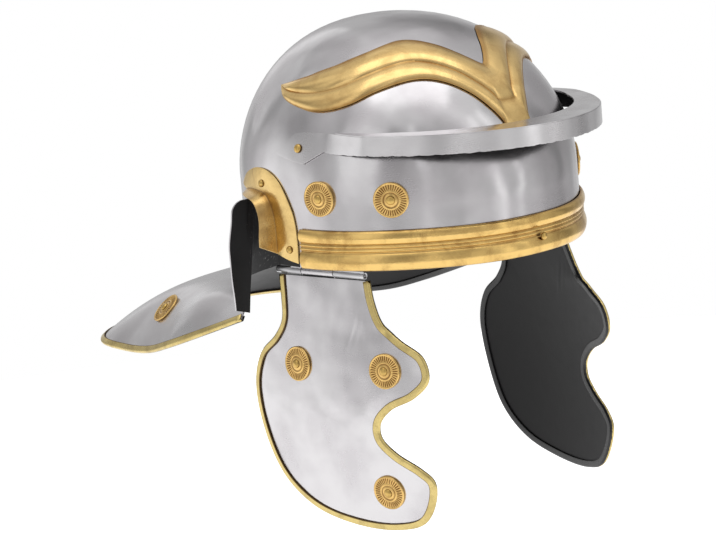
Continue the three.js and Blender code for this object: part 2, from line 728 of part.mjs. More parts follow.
function cheekGuard(word, side) {
  const outline = cheekOutline(37);
  const middle = [cheekStart + cheekReach * 0.37, cheekDrop * 0.56];
  const shares = [0, 0.35, 0.65, 0.88, 1];
  const grid = outline.map((p) => shares.map((share) =>
    cheekPoint(lerp(middle[0], p.x, share), lerp(middle[1], p.y, share))));
  const [, first, second] = knuckleEnds;
  const tabFrom = first + knuckleGap / 2;
  const tabTo = second - knuckleGap / 2;
  const stem = [[-steel / 2, -pinRadius - 0.7], [-steel / 2, -cheekDrop * 0.06], [steel, -cheekDrop * 0.06],
    [steel / 2, -pinRadius - 0.7]];
  const panel = joined([cheekSheet(grid), knuckle(tabFrom, tabTo), web(stem, tabFrom, tabTo)]);
  addMesh(`cheek_guard_${word}`, mirrored(panel, side), 'steel');
  const edge = grid.map((column) => mirror(column[4], side));
  const inner = grid.map((column) => mirror(column[3], side));
  const normals = cheekNormals(outline).map((normal) => mirror(normal, side));
  binding(`cheek_binding_${word}`, edge, inner, normals);
  const spots = { back: [0.195, 0.363], front: [0.85, 0.358], chin: [0.8, 0.842] };
  Object.entries(spots).forEach(([spot, [along, down]]) => {
    const at = [cheekStart + along * cheekReach, down * cheekDrop];
    const [normal] = cheekNormals([{ x: at[0], y: at[1] }]);
    const point = cheekPoint(...at).addScaledVector(normal, steel / 2);
    rosette(`cheek_rosette_${spot}_${word}`, mirror(point, side), mirror(normal, side));
  });
}

function cheekNormals(places) {
  const step = 0.5;
  return places.map(({ x, y }) => {
    const along = cheekPoint(x + step, y).sub(cheekPoint(x - step, y));
    const down = cheekPoint(x, y + step).sub(cheekPoint(x, y - step));
    const normal = along.cross(down).normalize();
    return normal.multiplyScalar(Math.sign(normal.dot(cheekOut)));
  });
}

// The panel's sheet: rings round its middle, offset both ways along the outward normal
function cheekSheet(grid) {
  const offset = (distance) => grid.map((column) =>
    column.map((point) => point.clone().addScaledVector(cheekOut, distance)));
  return plate(offset(steel / 2), offset(-steel / 2), true);
}

skull();
neckGuard();
browGuard();
browBand();
eyebrowOrnament();
skullFittings();
neckFittings();
sides.forEach(({ word, side }) => {
  earGuard(`ear_guard_${word}`, side);
  hinge(word, side);
  cheekGuard(word, side);
});

export default group;
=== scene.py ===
import json
import math

import bmesh
import bpy
from mathutils import Matrix, Vector, noise


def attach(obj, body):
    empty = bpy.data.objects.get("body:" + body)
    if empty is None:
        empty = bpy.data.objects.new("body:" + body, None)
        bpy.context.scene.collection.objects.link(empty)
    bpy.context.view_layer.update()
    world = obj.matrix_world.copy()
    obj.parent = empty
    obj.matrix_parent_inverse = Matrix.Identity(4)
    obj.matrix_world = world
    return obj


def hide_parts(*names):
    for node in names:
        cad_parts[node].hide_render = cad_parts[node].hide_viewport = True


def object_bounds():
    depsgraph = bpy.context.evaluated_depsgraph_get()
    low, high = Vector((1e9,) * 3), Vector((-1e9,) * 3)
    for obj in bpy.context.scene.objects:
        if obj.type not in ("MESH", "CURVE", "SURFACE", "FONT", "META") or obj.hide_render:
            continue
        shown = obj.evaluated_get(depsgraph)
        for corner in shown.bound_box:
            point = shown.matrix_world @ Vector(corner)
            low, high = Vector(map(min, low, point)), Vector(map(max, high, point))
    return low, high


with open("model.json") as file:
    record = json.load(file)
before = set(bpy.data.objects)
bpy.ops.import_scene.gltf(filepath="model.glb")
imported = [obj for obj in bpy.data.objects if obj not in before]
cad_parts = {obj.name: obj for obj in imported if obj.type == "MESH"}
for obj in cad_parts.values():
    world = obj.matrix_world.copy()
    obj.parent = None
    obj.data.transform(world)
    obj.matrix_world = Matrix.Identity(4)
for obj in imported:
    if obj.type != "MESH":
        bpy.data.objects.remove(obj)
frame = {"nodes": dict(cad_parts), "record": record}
cad_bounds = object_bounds()

# The camera stands well back from the wearer's front right with a long lens, a little above
# the rim and tilted a few degrees, as the helmet was photographed. The helmet faces -Y and
# sits on an unseen head, so it hangs clear of the floor.
camera_place = Vector((-1.38693, -1.53142, 0.39602))
look_turn = math.radians(40.998)
look_drop = math.radians(11.383)
look_tilt = math.radians(-4.787)
ahead = Vector((
    math.sin(look_turn) * math.cos(look_drop),
    math.cos(look_turn) * math.cos(look_drop),
    -math.sin(look_drop),
))
level = Vector((math.cos(look_turn), -math.sin(look_turn), 0))
across = level * math.cos(look_tilt) + level.cross(ahead) * math.sin(look_tilt)
camera_data = bpy.data.cameras.new("camera")
camera_data.lens = 155.84
camera_data.sensor_width = 36
camera = bpy.data.objects.new("camera", camera_data)
camera.matrix_world = Matrix((across, across.cross(ahead), -ahead)).transposed().to_4x4()
camera.matrix_world.translation = camera_place
bpy.context.scene.collection.objects.link(camera)
bpy.context.scene.camera = camera


# The bowl is one piece of 1.2 mm steel, raised to a dome over a steep wall, with an opening
# cut for each ear. It is polished outside and painted satin black inside. The corner of the
# wall under each ear guard's foot is coloured black as painted shade. Behind each ear the sheet
# is turned out as a flange that is black in front.
steel_sheet = 0.0012
bowl_length = 0.236
bowl_width = 0.217
bowl_height = 0.1525
wall_height = 0.047
crown_shift = 0.012
ear_front = 98
ear_back = 111
ear_height = 0.0455
nape_drop = 0.029
nape_flare = 0.013
nape_side = 0.003
ear_flare = 0.007
brow_taper = 0.048
flange_reach = 0.124
flange_top = 0.041
flange_drop = 0.033
flange_corner = 0.010
clearance = 0.0003


def mixed(a, b, share):
    return a + (b - a) * share


def eased(value, low, high):
    share = min(max((value - low) / (high - low), 0), 1)
    return share * share * (3 - 2 * share)


def bowl_flare(angle, z):
    if angle < ear_back:
        return 0
    back = (angle - ear_back) / (180 - ear_back)
    sink = min(max(-z / nape_drop, 0), 1.3) ** 1.5
    bend = (1 - eased(back, 0, 0.17)) * (1 - eased(z, ear_height * 0.4, ear_height - 0.001))
    return ear_flare * bend + mixed(nape_side, nape_flare, eased(back, 0, 0.7)) * sink


def bowl_point(angle, z, off=0):
    """A point off the bowl's face; angles run from the brow, positive on the wearer's right."""
    rise = min(max((z - wall_height) / (bowl_height - wall_height + off), 0), 1)
    turn = math.radians(angle)
    narrow = brow_taper * math.sin(2 * turn) ** 2 * (1 - rise) ** 2 if abs(angle) < 90 else 0
    size = (1 - rise ** 1.77) ** (1 / 2.3) * (1 - narrow)
    out = off + bowl_flare(abs(angle), z)
    side = abs(math.sin(turn)) ** (2 / 2.2) * math.copysign(1, math.sin(turn))
    front = abs(math.cos(turn)) ** (2 / 2.2) * math.copysign(1, math.cos(turn))
    return Vector((
        -side * (bowl_width / 2 + out) * size,
        -front * (bowl_length / 2 + out) * size + crown_shift * rise,
        z,
    ))


def bowl_edge(angle):
    if angle <= ear_front:
        return 0
    if angle < ear_back:
        share = (ear_back - angle) / (ear_back - ear_front)
        return ear_height * (1 - share ** 3.5) ** (1 / 3.5)
    return mixed(-flange_drop, -nape_drop, eased(angle, ear_back, 150))


def sheet_sides(grid, thickness):
    """Offsets a grid of points both ways along its normals, to half the sheet's thickness."""
    last = len(grid) - 1
    rows = len(grid[0]) - 1

    def beside(i, j):
        return grid[min(max(i, 0), last)][min(max(j, 0), rows)]

    outer, inner = [], []
    for i, column in enumerate(grid):
        normals = [
            (beside(i + 1, j) - beside(i - 1, j)).cross(beside(i, j + 1) - beside(i, j - 1)).normalized()
            for j in range(rows + 1)
        ]
        outer.append([p + n * thickness / 2 for p, n in zip(column, normals)])
        inner.append([p - n * thickness / 2 for p, n in zip(column, normals)])
    return outer, inner


def press_sheet(outer, inner, folds=None):
    """Shapes two flat grids to the faces of a sheet and closes its edges; the second may be painted."""
    bm = bmesh.new()
    fold = bm.verts.layers.float.new("fold")
    columns = len(outer) - 1
    rows = len(outer[0]) - 1
    for paint, face in enumerate((outer, inner)):
        verts = bmesh.ops.create_grid(bm, x_segments=columns, y_segments=rows, size=0.5)["verts"]
        for vert in verts:
            i = round((vert.co.x + 0.5) * columns)
            j = round((vert.co.y + 0.5) * rows)
            vert.co = face[i][j]
            vert[fold] = folds[j] if folds else 0
        for poly in {poly for vert in verts for poly in vert.link_faces}:
            poly.material_index = paint
    bmesh.ops.remove_doubles(bm, verts=bm.verts, dist=2e-6)
    bmesh.ops.dissolve_degenerate(bm, edges=bm.edges, dist=1e-7)
    bmesh.ops.bridge_loops(bm, edges=[edge for edge in bm.edges if edge.is_boundary])
    bmesh.ops.recalc_face_normals(bm, faces=bm.faces)
    return bm


def add_part(bm, part):
    """Adds a second mesh to a piece that is made of several."""
    mesh = bpy.data.meshes.new("part")
    part.to_mesh(mesh)
    part.free()
    bm.from_mesh(mesh)


def finish_piece(name, bm, paints, body, slot, *nodes, edge=0.0002):
    """Makes the piece, softens its edges, and sets it on its body in place of its CAD nodes."""
    mesh = bpy.data.meshes.new(name)
    bm.to_mesh(mesh)
    bm.free()
    mesh.shade_smooth()
    for paint in paints:
        mesh.materials.append(paint)
    piece = bpy.data.objects.new(name, mesh)
    bpy.context.scene.collection.objects.link(piece)
    if edge:
        bevel = piece.modifiers.new("dressed edges", "BEVEL")
        bevel.width = edge
        bevel.segments = 2
        bevel.limit_method = "ANGLE"
        bevel.angle_limit = math.radians(50)
        bevel.use_clamp_overlap = True
        piece.modifiers.new("even shine", "WEIGHTED_NORMAL")
    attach(piece, body)
    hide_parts(*nodes)
    return piece


def add_node(tree, kind, inputs=None, **settings):
    made = tree.nodes.new(kind)
    for key, value in settings.items():
        setattr(made, key, value)
    for key, value in (inputs or {}).items():
        if isinstance(value, bpy.types.NodeSocket):
            tree.links.new(value, made.inputs[key])
        else:
            made.inputs[key].default_value = value
    return made


def new_effect(name, inputs, outputs):
    """A shader node group with its named inputs and their values, and its named outputs."""
    effect = bpy.data.node_groups.new(name, "ShaderNodeTree")
    for label, value in inputs.items():
        kind = "NodeSocketColor" if isinstance(value, tuple) else "NodeSocketFloat"
        effect.interface.new_socket(name=label, in_out="INPUT", socket_type=kind).default_value = value
    for label, kind in outputs.items():
        effect.interface.new_socket(name=label, in_out="OUTPUT", socket_type=kind)
    return effect, effect.nodes.new("NodeGroupInput").outputs, effect.nodes.new("NodeGroupOutput").inputs


def polish_effect():
    """Hand polish: broad soft blotches, fine rubbing marks round the piece and a faint unevenness."""
    effect, given, result = new_effect(
        "hand_polish",
        {"Dull": 0.34, "Bright": 0.22, "Rubbing": 0.25, "Unevenness": 0.1},
        {"Blotch": "NodeSocketFloat", "Roughness": "NodeSocketFloat", "Normal": "NodeSocketVector"},
    )
    place = add_node(effect, "ShaderNodeTexCoord").outputs["Object"]
    blotch = add_node(effect, "ShaderNodeTexNoise", {"Vector": place, "Scale": 26.0, "Detail": 4.0})
    soft = add_node(effect, "ShaderNodeMapRange", {
        "Value": blotch.outputs["Fac"], "From Min": 0.32, "From Max": 0.68,
    }, interpolation_type="SMOOTHSTEP")
    drawn = add_node(effect, "ShaderNodeMapping", {"Vector": place, "Scale": (1.0, 1.0, 14.0)})
    rubbed = add_node(effect, "ShaderNodeTexNoise", {
        "Vector": drawn.outputs["Vector"], "Scale": 130.0, "Detail": 5.0, "Roughness": 0.7,
    })
    rough = add_node(effect, "ShaderNodeMapRange", {
        "Value": soft.outputs["Result"], "To Min": given["Bright"], "To Max": given["Dull"],
    })
    marks = add_node(effect, "ShaderNodeMath", {
        0: rubbed.outputs["Fac"], 1: given["Rubbing"],
    }, operation="MULTIPLY")
    total = add_node(effect, "ShaderNodeMath", {
        0: marks.outputs["Value"], 1: 0.4, 2: rough.outputs["Result"],
    }, operation="MULTIPLY_ADD")
    wave = add_node(effect, "ShaderNodeTexNoise", {"Vector": place, "Scale": 38.0, "Detail": 1.0})
    uneven = add_node(effect, "ShaderNodeBump", {
        "Height": wave.outputs["Fac"], "Strength": given["Unevenness"], "Distance": 0.004,
    })
    fine = add_node(effect, "ShaderNodeBump", {
        "Height": rubbed.outputs["Fac"], "Strength": given["Rubbing"], "Distance": 0.00004,
        "Normal": uneven.outputs["Normal"],
    })
    effect.links.new(soft.outputs["Result"], result["Blotch"])
    effect.links.new(total.outputs["Value"], result["Roughness"])
    effect.links.new(fine.outputs["Normal"], result["Normal"])
    return effect


hand_polish = polish_effect()


def new_material(name):
    material = bpy.data.materials.new(name)
    material.use_nodes = True
    return material, material.node_tree, material.node_tree.nodes["Principled BSDF"]


def mixed_colour(tree, share, low, high):
    mix = add_node(tree, "ShaderNodeMix", data_type="RGBA")
    sockets = {6: low, 7: high}
    for index, value in sockets.items():
        if isinstance(value, bpy.types.NodeSocket):
            tree.links.new(value, mix.inputs[index])
        else:
            mix.inputs[index].default_value = (*value, 1)
    if isinstance(share, bpy.types.NodeSocket):
        tree.links.new(share, mix.inputs[0])
    else:
        mix.inputs[0].default_value = share
    return mix.outputs[2]


def polished_steel(name, bright, dull, rough, uneven=0.2):
    material, tree, surface = new_material(name)
    polish = add_node(tree, "ShaderNodeGroup", {
        "Bright": rough, "Dull": rough + 0.1, "Rubbing": 0.2, "Unevenness": uneven,
    }, node_tree=hand_polish)
    tree.links.new(mixed_colour(tree, polish.outputs["Blotch"], bright, dull), surface.inputs["Base Color"])
    tree.links.new(polish.outputs["Roughness"], surface.inputs["Roughness"])
    tree.links.new(polish.outputs["Normal"], surface.inputs["Normal"])
    surface.inputs["Metallic"].default_value = 1
    return material


paint_black = (0.014, 0.0135, 0.014)


def black_paint(name, scuffs, sheen):
    """Satin paint brushed on thick; where scuffs is above zero, fine upright scratches show pale."""
    material, tree, surface = new_material(name)
    place = add_node(tree, "ShaderNodeTexCoord").outputs["Object"]
    brushed = add_node(tree, "ShaderNodeTexNoise", {"Vector": place, "Scale": 120.0, "Detail": 4.0})
    upright = add_node(tree, "ShaderNodeMapping", {"Vector": place, "Scale": (1.0, 1.0, 0.06)})
    lines = add_node(tree, "ShaderNodeTexNoise", {
        "Vector": upright.outputs["Vector"], "Scale": 620.0, "Detail": 3.0, "Roughness": 0.7,
    })
    thin = add_node(tree, "ShaderNodeMapRange", {
        "Value": lines.outputs["Fac"], "From Min": 0.6, "From Max": 0.72, "To Max": scuffs,
    })
    patch = add_node(tree, "ShaderNodeMapRange", {
        "Value": brushed.outputs["Fac"], "From Min": 0.42, "From Max": 0.58,
    })
    scratch = add_node(tree, "ShaderNodeMath", {
        0: thin.outputs["Result"], 1: patch.outputs["Result"],
    }, operation="MULTIPLY")
    colour = mixed_colour(tree, scratch.outputs["Value"], paint_black, (0.34, 0.33, 0.32))
    tree.links.new(colour, surface.inputs["Base Color"])
    rough = add_node(tree, "ShaderNodeMapRange", {
        "Value": brushed.outputs["Fac"], "To Min": sheen, "To Max": sheen + 0.12,
    })
    tree.links.new(rough.outputs["Result"], surface.inputs["Roughness"])
    relief = add_node(tree, "ShaderNodeBump", {
        "Height": brushed.outputs["Fac"], "Strength": 0.25, "Distance": 0.0003,
    })
    tree.links.new(relief.outputs["Normal"], surface.inputs["Normal"])
    surface.inputs["Specular IOR Level"].default_value = 0.16
    return material


bowl_steel = polished_steel("polished_bowl_steel", (0.66, 0.645, 0.655), (0.58, 0.555, 0.57), 0.13)
scuffed_paint = black_paint("scuffed_inside_paint", 0.75, 0.6)
black_satin = black_paint("satin_black_paint", 0.0, 0.28)


def bowl_angles():
    front = [ear_front * i / 32 for i in range(32)]
    arch = [mixed(ear_front, ear_back - 0.05, (i / 16) ** 2.2) for i in range(17)]
    bend = [ear_back + 0.05 + 10 * (i / 8) ** 1.3 for i in range(9)]
    rear = [mixed(ear_back + 10.05, 180, i / 20) for i in range(1, 21)]
    half = front + arch + bend + rear
    return [*half, *[-angle for angle in reversed(half[:-1])]]


def bowl_column(angle, off):
    edge = bowl_edge(abs(angle))
    base = max(edge, 0)
    heights = [mixed(edge, base, i / 8) for i in range(8)]
    heights += [mixed(base, wall_height, i / 8) for i in range(8)]
    for i in range(25):
        lift = math.sin(math.pi / 2 * i / 24)
        heights.append(mixed(wall_height, bowl_height, lift) + off * lift)
    return [bowl_point(angle, z, off) for z in heights]


def flange_faces(side):
    wall = bowl_point(ear_back, bowl_height * 0.1)
    shares = [i / 12 for i in range(9)] + [1 - 0.33 * (1 - i / 14) ** 1.7 for i in range(1, 15)]

    def column(share, back):
        foot = -flange_drop * mixed(1.08, 0.97, share)
        shoulder = flange_reach - 0.0045
        inner = -bowl_point(ear_back, flange_top, -steel_sheet * 0.7).x
        past = max(0, mixed(inner, shoulder, share) - (shoulder - flange_corner))
        top = flange_top - flange_corner + math.sqrt(max(0, flange_corner ** 2 - past ** 2))
        points = []
        for j in range(33):
            z = mixed(foot, top, j / 32)
            root = -bowl_point(ear_back, z, -steel_sheet * 0.7).x
            outer = flange_reach - 0.0045 * eased(z, 0.008, 0.034) - 0.001 * eased(-z, 0.008, 0.03)
            points.append(Vector((-side * mixed(root, outer, share), wall.y + back, z)))
        return points

    return [[column(share, back) for share in shares] for back in (steel_sheet, 0)]


bowl = press_sheet(*[[bowl_column(angle, off) for angle in bowl_angles()] for off in (0, -steel_sheet)])
# The corner of the outer wall under each ear guard takes the black paint as painted shade; the rear cut edge
# of each ear opening is painted black as well.
for poly in bowl.faces:
    middle = poly.calc_center_median()
    painted_shade_under_guard = middle.z < 0.009 and -0.0036 < middle.y < 0.02
    cut_edge = poly.normal.y < -0.7 and middle.z < 0.047 and 0.04 < middle.y < 0.052
    if poly.material_index == 0 and (painted_shade_under_guard or cut_edge):
        poly.material_index = 2
for side in (1, -1):
    flange = press_sheet(*flange_faces(side))
    for poly in flange.faces:
        poly.material_index *= 2
    add_part(bowl, flange)
bowl_paints = [bowl_steel, scuffed_paint, black_satin]
finish_piece("bowl", bowl, bowl_paints, "shell", "polished_steel", "skull")


# The neck guard is a broad steel apron that slopes down and back from the nape. An upturned
# collar seats it round the bowl, riveted through, and it crowns a little along its middle.
# Its underside is painted black.
guard_reach = 0.273
guard_width = 0.242
guard_drop = 0.080
guard_crown = 0.0125
collar_height = 0.009
guard_edge = [
    (0.0, 0.975, 0.485), (0.17, 1.0, 0.65), (0.35, 1.0, 0.815), (0.5, 0.945, 0.93),
    (0.68, 0.87, 0.99), (0.85, 0.79, 1.0), (0.955, 0.57, 1.0), (1.0, 0.0, 1.0),
]


def curve_through(points, count):
    """Even steps along a smooth line through points."""
    ends = [points[0] * 2 - points[1], *points, points[-1] * 2 - points[-2]]
    dense = []
    for a, b, c, d in zip(ends, ends[1:], ends[2:], ends[3:]):
        gaps = [max((q - p).length, 1e-9) ** 0.5 for p, q in ((a, b), (b, c), (c, d))]
        leave = ((b - a) / gaps[0] - (c - a) / (gaps[0] + gaps[1]) + (c - b) / gaps[1]) * gaps[1]
        reach = ((c - b) / gaps[1] - (d - b) / (gaps[1] + gaps[2]) + (d - c) / gaps[2]) * gaps[1]
        for k in range(30):
            t = k / 30
            dense.append(
                b * (2 * t ** 3 - 3 * t ** 2 + 1) + leave * (t ** 3 - 2 * t ** 2 + t)
                + c * (3 * t ** 2 - 2 * t ** 3) + reach * (t ** 3 - t ** 2)
            )
    dense.append(points[-1])
    travelled = [0]
    for p, q in zip(dense, dense[1:]):
        travelled.append(travelled[-1] + (q - p).length)
    spaced = []
    k = 0
    for i in range(count + 1):
        goal = travelled[-1] * i / count
        while k < len(dense) - 2 and travelled[k + 1] < goal:
            k += 1
        span = max(travelled[k + 1] - travelled[k], 1e-12)
        spaced.append(dense[k].lerp(dense[k + 1], (goal - travelled[k]) / span))
    return spaced


def rounded_corner(before, corner, after, radius, steps):
    """Points that turn a corner between two straight runs."""
    start = corner + (before - corner).normalized() * radius
    stop = corner + (after - corner).normalized() * radius
    turn = [i / steps for i in range(steps + 1)]
    return [start * (1 - t) ** 2 + corner * 2 * t * (1 - t) + stop * t ** 2 for t in turn]


def guard_rows(count):
    start = bowl_point(ear_back, 0).y + steel_sheet + clearance
    right = [
        Vector((-out * guard_width / 2, mixed(start, guard_reach, back), -down * guard_drop))
        for back, out, down in guard_edge
    ]
    left = [Vector((-p.x, p.y, p.z)) for p in reversed(right[:-1])]
    rows = []
    for i, rim in enumerate(curve_through(right + left, count)):
        share = 2 * i / count
        spread = 2 - share if share > 1 else share
        side = -1 if share > 1 else 1
        angle = side * mixed(ear_back + 1.6, 180, spread)
        low = mixed(-flange_drop + 0.001, -nape_drop, eased(spread, 0, 0.5))
        stand = clearance + steel_sheet / 2

        def seat(z):
            return bowl_point(angle, z, stand)

        heel = seat(low)
        crown = Vector((0, 0, guard_crown * eased(spread, 0, 0.35)))
        slope = [heel.lerp(rim, v) + crown * 4 * v * (1 - v) for v in [k / 26 for k in range(1, 27)]]
        bend = rounded_corner(seat(low + collar_height), heel, slope[3], 0.003, 6)
        rows.append([seat(low + collar_height), seat(low + collar_height * 0.65), *bend, *slope[1:]])
    return rows


guard_grid = guard_rows(120)
guard_steel = polished_steel("polished_guard_steel", (0.64, 0.63, 0.64), (0.56, 0.54, 0.55), 0.2)
outer, inner = sheet_sides(guard_grid, steel_sheet)
if outer[60][20].z < inner[60][20].z:
    outer, inner = inner, outer
neck_guard = press_sheet(outer, inner)
finish_piece(
    "neck_guard_apron", neck_guard, [guard_steel, black_satin], "shell", "polished_steel", "neck_guard",
)


# The neck guard's cut edge is bound with a narrow strip of brass, folded over it from both
# sides and rubbed smooth. It is paler than the other brass, and black paint has strayed on to
# the strip's lower half along the flanks.
binding_width = 0.0035
binding_sheet = 0.0007
binding_play = 0.00045


def binding_section():
    """The folded strip's outline: outwards from the sheet's edge, and across the sheet."""
    reach = binding_width
    slot = steel_sheet / 2 + binding_play
    face = slot + binding_sheet
    nose = [math.pi * k / 10 - math.pi / 2 for k in range(1, 10)]
    outline = [(-reach, -face + 0.0002), (-reach + 0.0002, -face), (-reach + 0.0006, -face), (0, -face)]
    outline += [(math.cos(a) * (face * 0.85), math.sin(a) * face) for a in nose]
    outline += [(0, face), (-reach + 0.0006, face), (-reach + 0.0002, face), (-reach, face - 0.0002)]
    outline += [(-reach, slot), (binding_play, slot), (binding_play, -slot), (-reach, -slot)]
    return outline


def sweep_section(rings, painted):
    """Shapes one grid to closed rings, closes its ends, and marks the paint's share on each point."""
    bm = bmesh.new()
    fold = bm.verts.layers.float.new("fold")
    paint = bm.verts.layers.float.new("paint")
    # The strip's inner edge, where it lies on the sheet, gets dark film as painted shade along the join
    # between strip and sheet.
    film = [1.2 if out < 0.0003 - binding_width else 0 for out, up in binding_section()]
    stations = len(rings) - 1
    sides = len(rings[0])
    for vert in bmesh.ops.create_grid(bm, x_segments=stations, y_segments=sides, size=0.5)["verts"]:
        i = round((vert.co.x + 0.5) * stations)
        j = round((vert.co.y + 0.5) * sides) % sides
        vert.co = rings[i][j]
        vert[fold] = film[j]
        vert[paint] = painted(rings[i][j], j)
    bmesh.ops.remove_doubles(bm, verts=bm.verts, dist=1e-6)
    bmesh.ops.holes_fill(bm, edges=[edge for edge in bm.edges if edge.is_boundary], sides=sides + 1)
    bmesh.ops.recalc_face_normals(bm, faces=bm.faces)
    return bm


def binding_rings(edge, inward, normals):
    rings = []
    for i, point in enumerate(edge):
        along = edge[min(i + 1, len(edge) - 1)] - edge[max(i - 1, 0)]
        away = normals[i].cross(along).normalized()
        if away.dot(point - inward[i]) < 0:
            away.negate()
        rings.append([point + away * a + normals[i] * b for a, b in binding_section()])
    return rings


def tarnish_and_shade_effect():
    """Brass ages: brown film in drifting clouds, bright where hands and cloth rub it. The Fold input darkens
    it further: painted shade at joins and creases, and patina with painted shade in grooves.
    """
    effect, given, result = new_effect(
        "brass_tarnish_and_shade",
        {
            "Bright": (0.8, 0.55, 0.2, 1.0), "Film": (0.36, 0.17, 0.04, 1.0),
            "Amount": 0.4, "Fold": 0.0, "Cloud": 60.0, "Shine": 0.2,
        },
        {"Colour": "NodeSocketColor", "Roughness": "NodeSocketFloat", "Normal": "NodeSocketVector"},
    )
    place = add_node(effect, "ShaderNodeTexCoord").outputs["Object"]
    cloud = add_node(effect, "ShaderNodeTexNoise", {
        "Vector": place, "Scale": given["Cloud"], "Detail": 6.0, "Roughness": 0.62, "Distortion": 0.4,
    })
    drift = add_node(effect, "ShaderNodeMapRange", {
        "Value": cloud.outputs["Fac"], "From Min": 0.42, "From Max": 0.72,
    }, interpolation_type="SMOOTHSTEP")
    film = add_node(effect, "ShaderNodeMath", {
        0: drift.outputs["Result"], 1: given["Amount"], 2: given["Fold"],
    }, operation="MULTIPLY_ADD", use_clamp=True)
    mix = add_node(effect, "ShaderNodeMix", {0: film.outputs["Value"]}, data_type="RGBA")
    effect.links.new(given["Bright"], mix.inputs[6])
    effect.links.new(given["Film"], mix.inputs[7])
    speck = add_node(effect, "ShaderNodeTexNoise", {"Vector": place, "Scale": 900.0, "Detail": 3.0})
    rough = add_node(effect, "ShaderNodeMath", {
        0: film.outputs["Value"], 1: 0.2, 2: given["Shine"],
    }, operation="MULTIPLY_ADD")
    relief = add_node(effect, "ShaderNodeBump", {
        "Height": speck.outputs["Fac"], "Strength": 0.2, "Distance": 0.00006,
    })
    dents = add_node(effect, "ShaderNodeBump", {
        "Height": cloud.outputs["Fac"], "Strength": 0.25, "Distance": 0.0008,
        "Normal": relief.outputs["Normal"],
    })
    effect.links.new(mix.outputs[2], result["Colour"])
    effect.links.new(rough.outputs["Value"], result["Roughness"])
    effect.links.new(dents.outputs["Normal"], result["Normal"])
    return effect


brass_tarnish_and_shade = tarnish_and_shade_effect()


def aged_brass(name, bright, film, amount, cloud=60.0, fold_share=1.0, shine=0.2):
    material, tree, surface = new_material(name)
    fold = add_node(tree, "ShaderNodeAttribute", attribute_name="fold")
    deep = add_node(tree, "ShaderNodeMath", {0: fold.outputs["Fac"], 1: fold_share}, operation="MULTIPLY")
    tarnish_and_shade = add_node(tree, "ShaderNodeGroup", {
        "Bright": (*bright, 1), "Film": (*film, 1), "Amount": amount, "Cloud": cloud, "Shine": shine,
        "Fold": deep.outputs["Value"],
    }, node_tree=brass_tarnish_and_shade)
    for made, taken in (("Colour", "Base Color"), ("Roughness", "Roughness"), ("Normal", "Normal")):
        tree.links.new(tarnish_and_shade.outputs[made], surface.inputs[taken])
    surface.inputs["Metallic"].default_value = 1
    return material


binding_brass = aged_brass(
    "pale_binding_brass", (0.66, 0.52, 0.21), (0.16, 0.1, 0.04), 0.35, 90.0, shine=0.26,
)


def paint_over(brass):
    """Black paint on the binding's inner half, worn back to the brass in an uneven line."""
    tree = brass.node_tree
    surface = tree.nodes["Principled BSDF"]
    reach = add_node(tree, "ShaderNodeAttribute", attribute_name="paint")
    place = add_node(tree, "ShaderNodeTexCoord").outputs["Object"]
    wear = add_node(tree, "ShaderNodeTexNoise", {"Vector": place, "Scale": 420.0, "Detail": 3.0})
    uneven = add_node(tree, "ShaderNodeMath", {
        0: wear.outputs["Fac"], 1: 0.5, 2: reach.outputs["Fac"],
    }, operation="MULTIPLY_ADD")
    cover = add_node(tree, "ShaderNodeMapRange", {
        "Value": uneven.outputs["Value"], "From Min": 0.78, "From Max": 0.88,
    })
    bare = surface.inputs["Base Color"].links[0].from_socket
    colour = mixed_colour(tree, cover.outputs["Result"], bare, paint_black)
    tree.links.new(colour, surface.inputs["Base Color"])
    metal = add_node(tree, "ShaderNodeMath", {0: 1.0, 1: cover.outputs["Result"]}, operation="SUBTRACT")
    tree.links.new(metal.outputs["Value"], surface.inputs["Metallic"])


paint_over(binding_brass)


def binding_paint():
    """The paint's share round the folded strip, by how far a point lies towards the inner face."""
    face = steel_sheet / 2 + binding_play + binding_sheet
    return [min(max(0.5 - 0.65 * across_sheet / face, 0), 1) for out, across_sheet in binding_section()]


guard_rim = [column[-1] for column in guard_grid]
guard_normals = [(o[-1] - i[-1]).normalized() for o, i in zip(outer, inner)]
guard_paint = binding_paint()
guard_binding = sweep_section(
    binding_rings(guard_rim, [column[-4] for column in guard_grid], guard_normals),
    lambda point, j: guard_paint[j] * (1 - eased(point.y, 0.185, 0.195)),
)
finish_piece(
    "neck_guard_edging", guard_binding, [binding_brass], "shell", "binding_brass",
    "neck_guard_binding", edge=0,
)


# The brow guard is an angle bar of steel across the front, its shelf level and its face
# upright, hammered thin into a tab at each end and riveted to the bowl above the ears. The
# lower edge is left roughly cut.
peak_reach = 0.147
peak_width = 0.216
peak_top = 0.089
peak_depth = 0.013
peak_shelf = 0.0245
shelf_gap = 0.0045
tab_height = 0.022
burrs = [(0.0006, 0.4), (0.0004, 1.6), (0.0005, 4.0)]
tab_outline = [
    (94.5, 0.34, 0.38), (93, 0.29, 0.52), (91, 0.24, 0.68), (88, 0.17, 0.96), (84, 0.11, 1.0),
    (80, 0.3, 1.0), (76, 0.48, 1.0),
]


def peak_point(angle, z):
    turn = math.radians(abs(angle))
    free = Vector((-peak_width / 2 * math.sin(turn), -peak_reach * math.cos(turn), z))
    seated = bowl_point(abs(angle), z, clearance + steel_sheet / 2)
    point = free.lerp(seated, eased(abs(angle), 64, 76))
    return Vector((point.x if angle >= 0 else -point.x, point.y, z))


